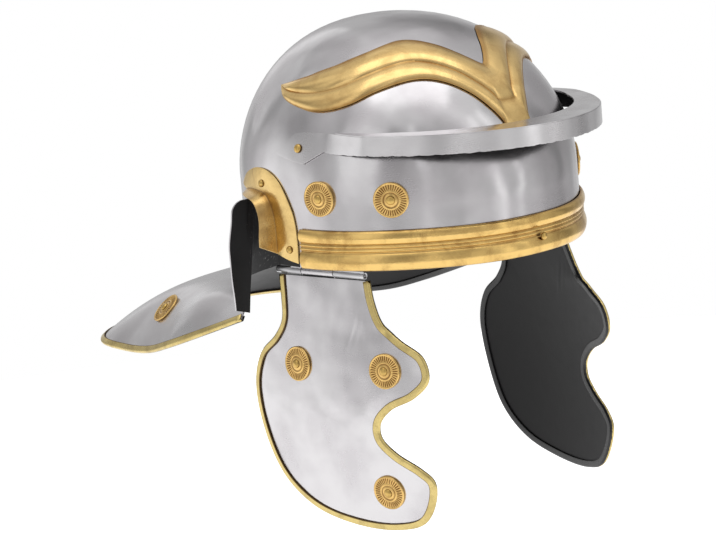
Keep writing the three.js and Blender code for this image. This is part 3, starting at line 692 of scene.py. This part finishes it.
def peak_edges(angle):
    """Lower and upper edge of the brow guard's upright face."""
    top = peak_top - steel_sheet / 2
    if angle <= 73:
        rough = sum(size * noise.noise(Vector((angle * pace, 2.0, 0))) for size, pace in burrs)
        return peak_top - peak_depth + rough, top
    stops = [*reversed(tab_outline)]
    bar = (top - tab_height, peak_top - peak_depth)
    previous = (73, (bar[1] - bar[0]) / tab_height, 1.0)
    for stop in stops:
        if angle <= stop[0]:
            share = (angle - previous[0]) / (stop[0] - previous[0])
            low = mixed(previous[1], stop[1], share)
            high = mixed(previous[2], stop[2], share)
            return mixed(bar[0], top, low), mixed(bar[0], top, high)
        previous = stop
    return mixed(bar[0], top, stops[-1][1]), mixed(bar[0], top, stops[-1][2])


def peak_angles():
    half = [94.5, 94, 93.4, 92.7, 92, 91, 90, 89, 88, 87, 86, 85, 84, 83, 82, 81, 80, 79, 78, 77, 76, 75, 74]
    half += [73 - i / 2 for i in range(147)]
    return [*half, *[-angle for angle in reversed(half[:-1])]]


def peak_wall():
    rows = []
    for angle in peak_angles():
        low, high = peak_edges(abs(angle))
        rows.append([peak_point(angle, mixed(low, high, k / 8)) for k in range(9)])
    return rows


def peak_shelf_rows():
    rows = []
    for angle in [a for a in peak_angles() if abs(a) <= 72]:
        rim = peak_point(angle, peak_top - steel_sheet / 2)
        gap = shelf_gap * (1 - eased(abs(angle), 50, 74)) + 3 * clearance
        limit = bowl_point(angle, peak_top - 1.5 * steel_sheet, gap)
        inward = Vector((limit.x - rim.x, limit.y - rim.y, 0))
        width = min(peak_shelf, inward.length)
        rows.append([rim + inward.normalized() * width * k / 8 for k in range(9)])
    return rows


bar_steel = polished_steel("filed_bar_steel", (0.7, 0.685, 0.695), (0.6, 0.58, 0.59), 0.17)
brow_bar = press_sheet(*sheet_sides(peak_wall(), steel_sheet))
add_part(brow_bar, press_sheet(*sheet_sides(peak_shelf_rows(), steel_sheet)))
# The bar's inner face and the shelf's underside take the black paint. It also stands in for the shade behind
# the bar: its dark reflection in the bowl gives the line below the bar as painted shade.
bar_paints = [bar_steel, black_satin]
finish_piece("brow_bar", brow_bar, bar_paints, "shell", "polished_steel", "brow_guard", edge=0.0005)


# The brow band is a strip of brass rolled to a moulding: a round bead along the top, fine
# ribs between two grooves, and a broad swell below. It runs round the front from one ear
# guard to the other and is riveted in the middle.
band_height = 0.026
band_relief = 0.003
band_end = 87.3
brass_sheet = 0.0009


def band_swell(up):
    """How far the rolled moulding stands out, as a share of its relief."""
    if up < 0.43:
        return 0.15 + 0.85 * math.sin(math.pi * up / 0.43) ** 0.65
    if up < 0.66:
        ribs = 0.5 - 0.5 * math.cos((up - 0.46) / 0.19 * 4 * math.pi)
        return 0.15 + 0.32 * (ribs if 0.46 < up < 0.65 else 0)
    return 0.15 + 0.8 * math.sin(math.pi * min((up - 0.66) / 0.33, 1)) ** 0.7 * (1 if up < 0.99 else 0)


def band_column(angle, depth):
    rows = []
    for k in range(79):
        up = k / 78
        off = clearance + brass_sheet + band_relief * 0.83 * band_swell(up) - depth
        rows.append(bowl_point(angle, up * band_height, off))
    return rows


def steepness(swell, count):
    """Brown film in the low lines of a moulding, partly patina and partly painted shade in the grooves."""
    heights = [swell(k / count) for k in range(count + 1)]
    return [max(0, 0.8 - 1.7 * height) for height in heights]


band_brass = aged_brass("rolled_band_brass", (0.8, 0.54, 0.19), (0.36, 0.2, 0.06), 0.6, shine=0.2)
band_angles = [mixed(band_end, -band_end, i / 140) for i in range(141)]
band = press_sheet(
    [band_column(a, 0) for a in band_angles], [band_column(a, brass_sheet) for a in band_angles],
    steepness(band_swell, 78),
)
finish_piece("brow_moulding", band, [band_brass, band_brass], "shell", "brass", "brow_band", edge=0.00015)


# The eyebrows are one sheet of brass, raised from behind into two rolled lobes a side with a
# groove between them. They sweep up over the brow, meet in a low point in front, and are
# pinned flat along their edges.
ornament_top = 0.1405
ornament_foot = 0.080
ornament_relief = 0.0016
ornament_outline = [
    (102.4, 0.575, 102.6, 0.585), (97.7, 0.47, 97, 0.625), (90, 0.395, 90.5, 0.68),
    (82, 0.355, 84, 0.745), (74, 0.37, 76.5, 0.8), (65, 0.435, 69, 0.86), (56, 0.53, 61, 0.91),
    (46, 0.6, 51, 0.965), (36, 0.635, 41, 1), (27, 0.615, 32, 1), (19, 0.54, 23.5, 0.975),
    (12.5, 0.42, 15, 0.92), (8, 0.27, 8.5, 0.84), (5.3, 0.13, 4, 0.765), (4.4, 0, 1.5, 0.715),
    (0, 0, 0, 0.69),
]


def between_rows(table, place):
    """A smooth blend between a table's rows, at a fractional row."""
    last = len(table) - 1
    k = min(int(place), last - 1)
    t = place - k
    a, b, c, d = (table[min(max(k + step, 0), last)] for step in (-1, 0, 1, 2))
    return [
        0.5 * (2 * q + (r - p) * t + (2 * p - 5 * q + 4 * r - s) * t ** 2 + (3 * q - p - 3 * r + s) * t ** 3)
        for p, q, r, s in zip(a, b, c, d)
    ]


def eyebrow_swell(share):
    first = math.sin(math.pi * min(max((share - 0.03) / 0.44, 0), 1)) ** 0.7
    second = math.sin(math.pi * min(max((share - 0.47) / 0.5, 0), 1)) ** 0.7
    return max(0.85 * first, second)


def eyebrow_column(place, side, depth):
    low_angle, low, high_angle, high = between_rows(ornament_outline, place)
    narrow = eased(place, 0, 1.4)
    rows = []
    for k in range(31):
        share = k / 30
        angle = mixed(low_angle, high_angle, share)
        z = mixed(ornament_foot, ornament_top, mixed(low, high, share))
        relief = 0.3 * clearance + ornament_relief * 1.1 * narrow * eyebrow_swell(share)
        off = clearance + brass_sheet + relief - depth
        rows.append(bowl_point(side * angle, z, off))
    return rows


eyebrow_places = [15 * i / 100 for i in range(101)]


def eyebrow_face(depth):
    right = [eyebrow_column(place, 1, depth) for place in eyebrow_places]
    left = [eyebrow_column(place, -1, depth) for place in reversed(eyebrow_places[:-1])]
    return right + left


eyebrow_brass = aged_brass("raised_eyebrow_brass", (0.86, 0.6, 0.25), (0.42, 0.23, 0.07), 0.4, shine=0.18)
eyebrows = press_sheet(eyebrow_face(0), eyebrow_face(brass_sheet * 0.9), steepness(eyebrow_swell, 30))
finish_piece(
    "raised_eyebrows", eyebrows, [eyebrow_brass, eyebrow_brass], "shell", "brass", "eyebrow_ornament",
    edge=0.00015,
)


# Each ear guard is a crescent of brass over the ear opening: flat against the bowl outside,
# with its inner edge turned out as a lip that shields the ear. The crease at the lip's foot is
# darkened as painted shade, and the lip itself is coloured a darker orange brown.
ear_guard_top = 0.063
lip_reach = 0.011
lip_lean = 0.003
ear_guard_outline = [
    (88.9, 0.04, 97.3, 0.11, 1.2, 0.45), (88.7, 0.3, 97.2, 0.3, 1.15, 0.1),
    (89.3, 0.52, 97.4, 0.46, 1.05, 0), (91, 0.71, 98.2, 0.58, 1, 0), (94, 0.885, 99.8, 0.68, 1, 0),
    (99, 0.985, 102.3, 0.74, 1, 0), (106, 1, 105.6, 0.755, 0.95, 0), (113.6, 0.92, 110.4, 0.76, 0.8, 0),
    (118.5, 0.8, 115.4, 0.74, 0.5, 0),
]


def ear_guard_rows():
    stand = clearance + brass_sheet / 2
    ear_middle = Vector((0, bowl_point(mixed(ear_front, ear_back, 0.7), 0).y, ear_height * 0.45))
    rows = []
    for i in range(65):
        rim_angle, rim, fold_angle, fold, reach, lift = between_rows(ear_guard_outline, 8 * i / 64)
        crease = bowl_point(fold_angle, fold * ear_guard_top, stand)
        toward = ear_middle - crease
        toward.x = 0
        edge = crease + Vector((-reach, 0, lift)) * lip_reach + toward.normalized() * lip_lean
        plate = []
        for k in range(9):
            t = k / 10
            angle = mixed(rim_angle, fold_angle, t)
            z = mixed(rim, fold, t) * ear_guard_top
            swell = 0.0005 * math.sin(math.pi * min(t / 0.9, 1)) ** 0.8
            plate.append(bowl_point(angle, z, stand + swell))
        bend = rounded_corner(plate[-1], crease, edge, 0.0009, 5)
        lip = [bend[-1].lerp(edge, k / 5) for k in range(1, 6)]
        rows.append([*plate, *bend, *lip])
    return rows


# Dark film per row across the guard: painted shade along the crease, then a darker orange-brown tint over
# the lip.
crease_shade_and_lip_tint = [0.0] * 9 + [0.4, 1.3, 1.6, 1.3, 0.9, 0.6, 0.55, 0.45, 0.5, 0.6, 0.6]
ear_guard_brass = aged_brass("turned_lip_brass", (0.83, 0.59, 0.24), (0.24, 0.12, 0.04), 0.32, 75.0, 0.6)
for word, side in (("right", 1), ("left", -1)):
    grid = [[Vector((side * p.x, p.y, p.z)) for p in column] for column in ear_guard_rows()]
    guard = press_sheet(*sheet_sides(grid, brass_sheet), crease_shade_and_lip_tint[:len(grid[0])])
    for poly in guard.faces:
        poly.material_index = 0
    finish_piece(f"ear_crescent_{word}", guard, [ear_guard_brass], "shell", "brass", f"ear_guard_{word}")


# A hinge hangs each cheek guard from the rim: a steel leaf inside the bowl is rolled into the
# two end knuckles, the cheek guard carries the middle one, and a plain steel pin with peened
# ends runs through all three.
hinge_across = 0.0985
hinge_back = 0.017
hinge_drop = 0.0055
hinge_turn = math.radians(8.2)
hinge_length = 0.0755
hinge_start = -0.0125
knuckle_radius = 0.0024
pin_radius = 0.001
knuckle_gap = 0.0005
peened_end = 0.0007
peening = 0.0003
hinge_along = Vector((math.sin(hinge_turn), -math.cos(hinge_turn), 0))
hinge_out = Vector((-math.cos(hinge_turn), -math.sin(hinge_turn), 0))
hinge_origin = Vector((-hinge_across, hinge_back, -hinge_drop))
knuckle_ends = [hinge_start + share * hinge_length for share in (0, 0.29, 0.655, 1)]


def turn_profile(profile, steps):
    """Spins an outline of radius and height points round the Z axis."""
    bm = bmesh.new()
    bm.verts.layers.float.new("fold")
    verts = [bm.verts.new((radius, 0, height)) for radius, height in profile]
    edges = [bm.edges.new(pair) for pair in zip(verts, verts[1:])]
    bmesh.ops.spin(
        bm, geom=verts + edges, cent=(0, 0, 0), axis=(0, 0, 1), angle=2 * math.pi, steps=steps,
        use_merge=True,
    )
    bmesh.ops.remove_doubles(bm, verts=bm.verts, dist=1e-6)
    bmesh.ops.recalc_face_normals(bm, faces=bm.faces)
    return bm


def along_hinge(place, out=0.0, up=0.0):
    return hinge_origin + hinge_along * place + hinge_out * out + Vector((0, 0, up))


def set_on_hinge(bm, place):
    """Turns a spun piece from the Z axis on to the hinge's line."""
    turn = Matrix((hinge_out, Vector((0, 0, 1)), -hinge_along)).transposed().to_4x4()
    turn.translation = along_hinge(place)
    bmesh.ops.transform(bm, matrix=turn, verts=bm.verts)
    bmesh.ops.recalc_face_normals(bm, faces=bm.faces)


def add_knuckle(bm, start, stop):
    soft = 0.0002
    r = knuckle_radius
    b = pin_radius + clearance
    length = stop - start
    profile = [
        (b, 0), (r - soft, 0), (r - 0.3 * soft, 0.3 * soft), (r, soft), (r, length - soft),
        (r - 0.3 * soft, length - 0.3 * soft), (r - soft, length), (b, length), (b, 0),
    ]
    ring = turn_profile(profile, 28)
    set_on_hinge(ring, stop)
    add_part(bm, ring)


def add_strip(bm, places, start, stop):
    """A flat strip of sheet along the hinge, through points given as out and up."""
    stations = [mixed(start, stop, i / 12) for i in range(13)]
    grid = [[along_hinge(station, out, up) for out, up in places] for station in stations]
    add_part(bm, press_sheet(*sheet_sides(grid, steel_sheet)))


def mirror_to(bm, side):
    if side < 0:
        bmesh.ops.transform(bm, matrix=Matrix.Scale(-1, 4, (1, 0, 0)), verts=bm.verts)
        bmesh.ops.reverse_faces(bm, faces=bm.faces)
    return bm


def hinge_leaf():
    stand = steel_sheet + 2 * clearance + steel_sheet / 2
    grid = []
    for i in range(25):
        axis = along_hinge(mixed(0, knuckle_ends[3], i / 24))
        angle = 90 + math.degrees(math.asin(axis.y / (bowl_length / 2)))
        seat = [bowl_point(angle, z, -stand) for z in (0.014, 0.010, 0.006)]
        edge = axis + hinge_out * 0.0012 + Vector((0, 0, knuckle_radius + 0.001))
        corner = bowl_point(angle, 0.002, -stand)
        grid.append([*seat, *rounded_corner(seat[-1], corner, edge, 0.0015, 4), edge])
    leaf = press_sheet(*sheet_sides(grid, steel_sheet))
    for start, stop in ((0, 1), (2, 3)):
        first = knuckle_ends[start] + (knuckle_gap / 2 if start else 0)
        last = knuckle_ends[stop] - (0 if start else knuckle_gap / 2)
        add_knuckle(leaf, first, last)
        add_strip(leaf, [(0.0011, 0.0015), (0.0012, 0.0037)], max(first, 0), last)
    return leaf


hinge_steel = polished_steel("hinge_steel", (0.6, 0.6, 0.61), (0.46, 0.45, 0.46), 0.24)
pin_steel = polished_steel("pin_steel", (0.42, 0.41, 0.41), (0.3, 0.29, 0.28), 0.34)
for word, side in (("right", 1), ("left", -1)):
    leaf = mirror_to(hinge_leaf(), side)
    for poly in leaf.faces:
        poly.material_index = 0
    finish_piece(
        f"hinge_leaf_{word}", leaf, [hinge_steel], "shell", "polished_steel",
        f"cheek_hinge_leaf_{word}", edge=0,
    )
    pin = turn_profile([
        (0, 0), (peened_end, 0), (pin_radius, peening), (pin_radius, hinge_length - peening),
        (peened_end, hinge_length), (0, hinge_length),
    ], 20)
    set_on_hinge(pin, knuckle_ends[3])
    finish_piece(
        f"hinge_pin_piece_{word}", mirror_to(pin, side), [pin_steel], "shell", "polished_steel",
        f"cheek_hinge_pin_{word}", edge=0,
    )


# Each cheek guard is a leaf of polished steel, dished over the cheek and curled in at its
# edges, notched in front to leave the eye and the mouth free. Inside it is painted black.
# Its tongue is rolled round the pin as the hinge's middle knuckle.
cheek_drop = 0.170
cheek_reach = 0.112
cheek_start = -0.016
cheek_lean = math.radians(1.2)
cheek_dish = 0.0089
cheek_curl = 0.0049
cheek_outline = [
    (0.06, 0.02), (0.075, 0.11), (0.07, 0.2), (0.0, 0.27), (-0.13, 0.345), (-0.195, 0.46),
    (-0.16, 0.64), (-0.03, 0.825), (0.19, 0.935), (0.52, 0.988), (0.83, 0.99), (1.0, 0.955),
    (1.085, 0.87), (1.1, 0.79), (1.03, 0.745), (0.875, 0.685), (0.785, 0.625), (0.785, 0.565),
    (0.87, 0.503), (1.03, 0.45), (1.12, 0.385), (1.09, 0.305), (0.95, 0.245), (0.83, 0.185),
    (0.765, 0.1), (0.73, 0.018),
]
cheek_middle = Vector((cheek_start + cheek_reach * 0.37, cheek_drop * 0.56, 0))
cheek_down = Vector((0, 0, -math.cos(cheek_lean))) + hinge_out * math.sin(cheek_lean)
cheek_out = hinge_out * math.cos(cheek_lean) + Vector((0, 0, math.sin(cheek_lean)))


def cheek_point(along, down, off=0.0):
    bulge = cheek_dish * math.sin(math.pi * min(max(down / cheek_drop, 0), 1))
    curl = cheek_curl * ((along - cheek_reach / 3) / (cheek_reach / 2)) ** 2 * eased(down, 0.004, 0.045)
    crease = 0.0007 * math.exp(-(((down - 0.036) / 0.003) ** 2)) * eased(along, 0.02, 0.05)
    return hinge_origin + hinge_along * along + cheek_down * down + cheek_out * (bulge - curl - crease + off)


def cheek_edge(count):
    return curve_through([
        Vector((cheek_start + along * cheek_reach, down * cheek_drop, 0)) for along, down in cheek_outline
    ], count)


def cheek_plate():
    edge = cheek_edge(150)
    closing = [edge[-1].lerp(edge[0], k / 16) for k in range(1, 17)]
    shares = [0, 0.08, 0.18, 0.28, 0.38, 0.48, 0.58, 0.67, 0.75, 0.82, 0.88, 0.93, 0.97, 1]

    def face(off):
        places = [[cheek_middle.lerp(p, share) for share in shares] for p in edge + closing]
        return [[cheek_point(p.x, p.y, off) for p in column] for column in places]

    return press_sheet(face(steel_sheet / 2), face(-steel_sheet / 2))


cheek_steel = polished_steel("polished_cheek_steel", (0.66, 0.645, 0.655), (0.57, 0.55, 0.565), 0.15, 0.4)
for word, side in (("right", 1), ("left", -1)):
    plate = cheek_plate()
    start = knuckle_ends[1] + knuckle_gap / 2
    stop = knuckle_ends[2] - knuckle_gap / 2
    add_knuckle(plate, start, stop)
    add_strip(plate, [(0, -0.0016), (0.0003, -0.006), (0.0007, -0.0105)], start, stop)
    finish_piece(
        f"cheek_plate_{word}", mirror_to(plate, side), [cheek_steel, black_satin], f"cheek_{word}",
        "polished_steel", f"cheek_guard_{word}",
    )


# The cheek guards' edges are bound like the neck guard's, in one strip that starts and ends
# at the hinge. Its cut ends stand open there, dark inside.
def cheek_binding():
    edge = cheek_edge(260)
    step = 0.0004
    normals, inward, line = [], [], []
    for p in edge:
        run = cheek_point(p.x + step, p.y) - cheek_point(p.x - step, p.y)
        drop = cheek_point(p.x, p.y + step) - cheek_point(p.x, p.y - step)
        normal = run.cross(drop).normalized()
        normals.append(normal if normal.dot(cheek_out) > 0 else -normal)
        near = p.lerp(cheek_middle, 0.03)
        inward.append(cheek_point(near.x, near.y))
        line.append(cheek_point(p.x, p.y))
    shares = binding_paint()
    return sweep_section(binding_rings(line, inward, normals), lambda point, j: shares[j])


for word, side in (("right", 1), ("left", -1)):
    finish_piece(
        f"cheek_edging_{word}", mirror_to(cheek_binding(), side), [binding_brass], f"cheek_{word}",
        "binding_brass", f"cheek_binding_{word}", edge=0,
    )


# Rosettes of stamped brass dress the bowl, the neck guard and the cheek guards. Each is a
# thin disc with a raised rim, a ring of radial flutes and a raised boss, held by one rivet
# through its middle.
rosette_radius = 0.0116
flutes = 36


def rosette_height(r):
    """Height of the stamped face at a share of the radius."""
    rim = 0.0004 * math.exp(-(((r - 0.945) / 0.03) ** 2))
    ring = 0.0004 * math.exp(-(((r - 0.49) / 0.04) ** 2))
    boss = 0.0006 * (1 - eased(r, 0.3, 0.42))
    bowl = 0.0002 * (1 - r ** 2)
    return 0.0009 + rim + ring + boss + bowl


def stamped_rosette():
    shares = [0, 0.2, 0.32, 0.38, 0.42, 0.46, 0.5, 0.53, 0.56, 0.59, 0.62, 0.66, 0.7, 0.75, 0.8, 0.84, 0.87,
              0.9, 0.92, 0.94, 0.96, 0.98, 1]
    profile = [(share * rosette_radius, rosette_height(share)) for share in shares]
    profile += [(rosette_radius, 0.0004), (rosette_radius - 0.0002, 0), (0, 0)]
    bm = turn_profile(profile, flutes * 6)
    # The flutes' valleys and the groove round the boss get dark film, partly patina and partly painted shade
    # in the grooves.
    fold = bm.verts.layers.float["fold"]
    for vert in bm.verts:
        r = Vector((vert.co.x, vert.co.y)).length / rosette_radius
        if vert.co.z > 0.0006:
            wave = math.cos(flutes * math.atan2(vert.co.y, vert.co.x))
            fluted = eased(r, 0.53, 0.59) * (1 - eased(r, 0.85, 0.91))
            vert.co.z += 0.00018 * wave * fluted
            vert[fold] = max(0, 0.8 * fluted * (0.6 - wave)) + 0.9 * math.exp(-(((r - 0.42) / 0.035) ** 2))
    return bm


def seat_of(node):
    """The middle of a turned CAD piece's foot and the direction in which it stands."""
    corners = [vert.co.copy() for vert in frame["nodes"][node].data.vertices]
    faces = frame["nodes"][node].data.polygons
    foot = {}
    for poly in faces:
        key = tuple(round(value, 2) for value in poly.normal)
        foot[key] = foot.get(key, 0) + poly.area
    down = Vector(max(foot, key=foot.get)).normalized()
    biggest = [poly.normal for poly in faces if poly.normal.dot(down) > 0.995]
    down = sum(biggest, Vector()).normalized()
    level_of_foot = max(p.dot(down) for p in corners)
    ring = [p for p in corners if p.dot(down) > level_of_foot - 2e-5]
    unique = {tuple(round(value, 6) for value in p): p for p in ring}.values()
    widest = max((p - q).length for p in unique for q in unique)
    middle = sum(unique, Vector()) / len(unique)
    rim = [p for p in unique if (p - middle).length > widest * 0.4]
    return sum(rim, Vector()) / len(rim), -down


def seated_copy(name, mesh, node, material):
    foot, up = seat_of(node)
    turn = up.to_track_quat("Z", "Y").to_matrix().to_4x4()
    turn.translation = foot
    copy = mesh.copy()
    copy.transform(turn)
    copy.name = name
    piece = bpy.data.objects.new(name, copy)
    copy.materials.append(material)
    bpy.context.scene.collection.objects.link(piece)
    body = next(word for word, nodes in frame["record"]["behaviour"]["bodies"].items() if node in nodes)
    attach(piece, body)
    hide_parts(node)


rosette_brass = aged_brass(
    "stamped_rosette_brass", (0.8, 0.53, 0.19), (0.2, 0.09, 0.025), 0.3, 110.0, shine=0.24,
)
rosette_mesh = bpy.data.meshes.new("rosette")
rosette = stamped_rosette()
rosette.to_mesh(rosette_mesh)
rosette.free()
rosette_mesh.shade_smooth()
rosette_nodes = [n for n in frame["nodes"] if "rosette" in n and not n.endswith("_rivet")]
for node in sorted(rosette_nodes):
    seated_copy(f"{node}_stamping", rosette_mesh, node, rosette_brass)


# Rivets hold everything: domed brass heads on the brass and the brow guard's tabs, smaller
# steel ones through the neck guard's collar. Each is a round head peened down by hand.
def rivet_mesh(radius, height):
    foot = radius * 0.14
    profile = [(0, 0), (radius * 0.96, 0), (radius, radius * 0.06), (radius * 0.985, foot)]
    for k in range(1, 9):
        turn = math.pi / 2 * k / 8
        profile.append((radius * 0.97 * math.cos(turn), foot + (height - foot) * math.sin(turn)))
    profile[-1] = (0, height)
    bm = turn_profile(profile, 32)
    # Each head is darkened towards its foot, painted shade where it meets the sheet.
    fold = bm.verts.layers.float["fold"]
    for vert in bm.verts:
        vert[fold] = 1.2 * (1 - eased(vert.co.z, height * 0.05, height * 0.5))
    mesh = bpy.data.meshes.new("rivet")
    bm.to_mesh(mesh)
    bm.free()
    mesh.shade_smooth()
    return mesh


rivet_brass = aged_brass("rivet_brass", (0.66, 0.44, 0.14), (0.2, 0.11, 0.03), 0.4, 220.0, shine=0.3)
rivet_steel = polished_steel("rivet_steel", (0.58, 0.57, 0.57), (0.45, 0.44, 0.44), 0.3)
broad_head = (0.003, 0.002)
collar_head = (0.002, 0.00133)
tall_head = (0.0026, 0.0022)
for node in sorted(n for n in frame["nodes"] if "rivet" in n):
    if "rosette" in node or node.startswith("brow_guard"):
        seated_copy(f"{node}_head", rivet_mesh(*broad_head), node, rivet_brass)
    elif node.startswith("neck_guard"):
        seated_copy(f"{node}_head", rivet_mesh(*collar_head), node, rivet_steel)
    else:
        seated_copy(f"{node}_head", rivet_mesh(*tall_head), node, rivet_brass)


# The studio is a pale floor well below the helmet and a bright white surround, with large
# soft lights at both sides and overhead. The surround is uneven, like draped white cloth, and
# gives the polished sheet its soft upright bands.
floor_bm = bmesh.new()
bmesh.ops.create_circle(floor_bm, cap_ends=True, radius=1.6, segments=64)
floor_mesh = bpy.data.meshes.new("floor")
floor_bm.to_mesh(floor_mesh)
floor_bm.free()
floor_mesh.transform(Matrix.Translation((0, 0, cad_bounds[0][2] - 0.25)))
floor = bpy.data.objects.new("floor", floor_mesh)
floor_paint, floor_tree, floor_surface = new_material("pale_floor")
floor_surface.inputs["Base Color"].default_value = (0.9, 0.9, 0.9, 1)
floor_surface.inputs["Roughness"].default_value = 0.9
floor_surface.inputs["Specular IOR Level"].default_value = 0.1
floor_surface.inputs["Emission Color"].default_value = (1, 1, 1, 1)
seen_floor = add_node(floor_tree, "ShaderNodeLightPath").outputs["Is Camera Ray"]
glow = add_node(floor_tree, "ShaderNodeMapRange", {"Value": seen_floor, "To Min": 0.52, "To Max": 0.8})
floor_tree.links.new(glow.outputs["Result"], floor_surface.inputs["Emission Strength"])
floor_mesh.materials.append(floor_paint)
bpy.context.scene.collection.objects.link(floor)

world = bpy.data.worlds.new("studio")
bpy.context.scene.world = world
world.use_nodes = True
air = world.node_tree
seen = add_node(air, "ShaderNodeLightPath").outputs["Is Camera Ray"]
toward = add_node(air, "ShaderNodeTexCoord").outputs["Generated"]
stretched = add_node(air, "ShaderNodeMapping", {"Vector": toward, "Scale": (2.4, 2.4, 0.2)})
folds = add_node(air, "ShaderNodeTexNoise", {
    "Vector": stretched.outputs["Vector"], "Scale": 1.6, "Detail": 1.5,
})
level = add_node(air, "ShaderNodeMapRange", {
    "Value": folds.outputs["Fac"], "From Min": 0.3, "From Max": 0.7, "To Min": 0.2, "To Max": 0.62,
}).outputs["Result"]
for heading, start, gain in (
    ((0.1, -1.0, 0.0), 0.55, 0.27), ((-1.0, 0.0, 0.0), 0.7, 0.15), ((0.55, 0.83, -0.1), 0.75, 0.22),
    ((-0.6, 0.78, -0.2), 0.8, 0.65), ((0.0, 0.0, 1.0), 0.45, 0.5), ((0.0, 0.0, -1.0), 0.0, 0.4),
):
    facing = add_node(air, "ShaderNodeVectorMath", {
        0: toward, 1: Vector(heading).normalized(),
    }, operation="DOT_PRODUCT")
    lobe = add_node(air, "ShaderNodeMapRange", {
        "Value": facing.outputs["Value"], "From Min": start, "To Max": gain,
    }, interpolation_type="SMOOTHSTEP")
    level = add_node(air, "ShaderNodeMath", {0: level, 1: lobe.outputs["Result"]}).outputs["Value"]
wall = add_node(air, "ShaderNodeCombineXYZ", {"X": level, "Y": level, "Z": level}).outputs["Vector"]
surround = mixed_colour(air, seen, wall, (1.0, 1.0, 1.0))
air.links.new(surround, air.nodes["Background"].inputs["Color"])
air.nodes["Background"].inputs["Strength"].default_value = 1.0


def soft_light(name, place, aim, width, height, power):
    data = bpy.data.lights.new(name, "AREA")
    data.shape = "RECTANGLE"
    data.size = width
    data.size_y = height
    data.energy = power
    light = bpy.data.objects.new(name, data)
    light.matrix_world = (Vector(aim) - Vector(place)).to_track_quat("-Z", "Y").to_matrix().to_4x4()
    light.matrix_world.translation = Vector(place)
    bpy.context.scene.collection.objects.link(light)


soft_light("left_softbox", (-2.4, -0.2, 0.8), (0, 0, 0), 1.2, 2.4, 3.5)
soft_light("front_strip", (0.5, -2.6, 0.9), (0, 0, 0), 0.4, 3.4, 2.4)
soft_light("far_front_strip", (1.3, -2.3, 0.9), (0, 0, 0), 0.2, 3.4, 1.4)
soft_light("near_front_strip", (-1.9, -1.9, 0.9), (0, 0, 0), 0.25, 3.4, 1.2)
soft_light("top_softbox", (-0.3, -0.3, 2.4), (0, 0, 0), 2.2, 1.6, 9)
soft_light("back_softbox", (0.4, 2.4, 1.0), (0, 0.1, 0), 1.6, 1.4, 2)
bpy.context.scene.view_settings.view_transform = "Standard"
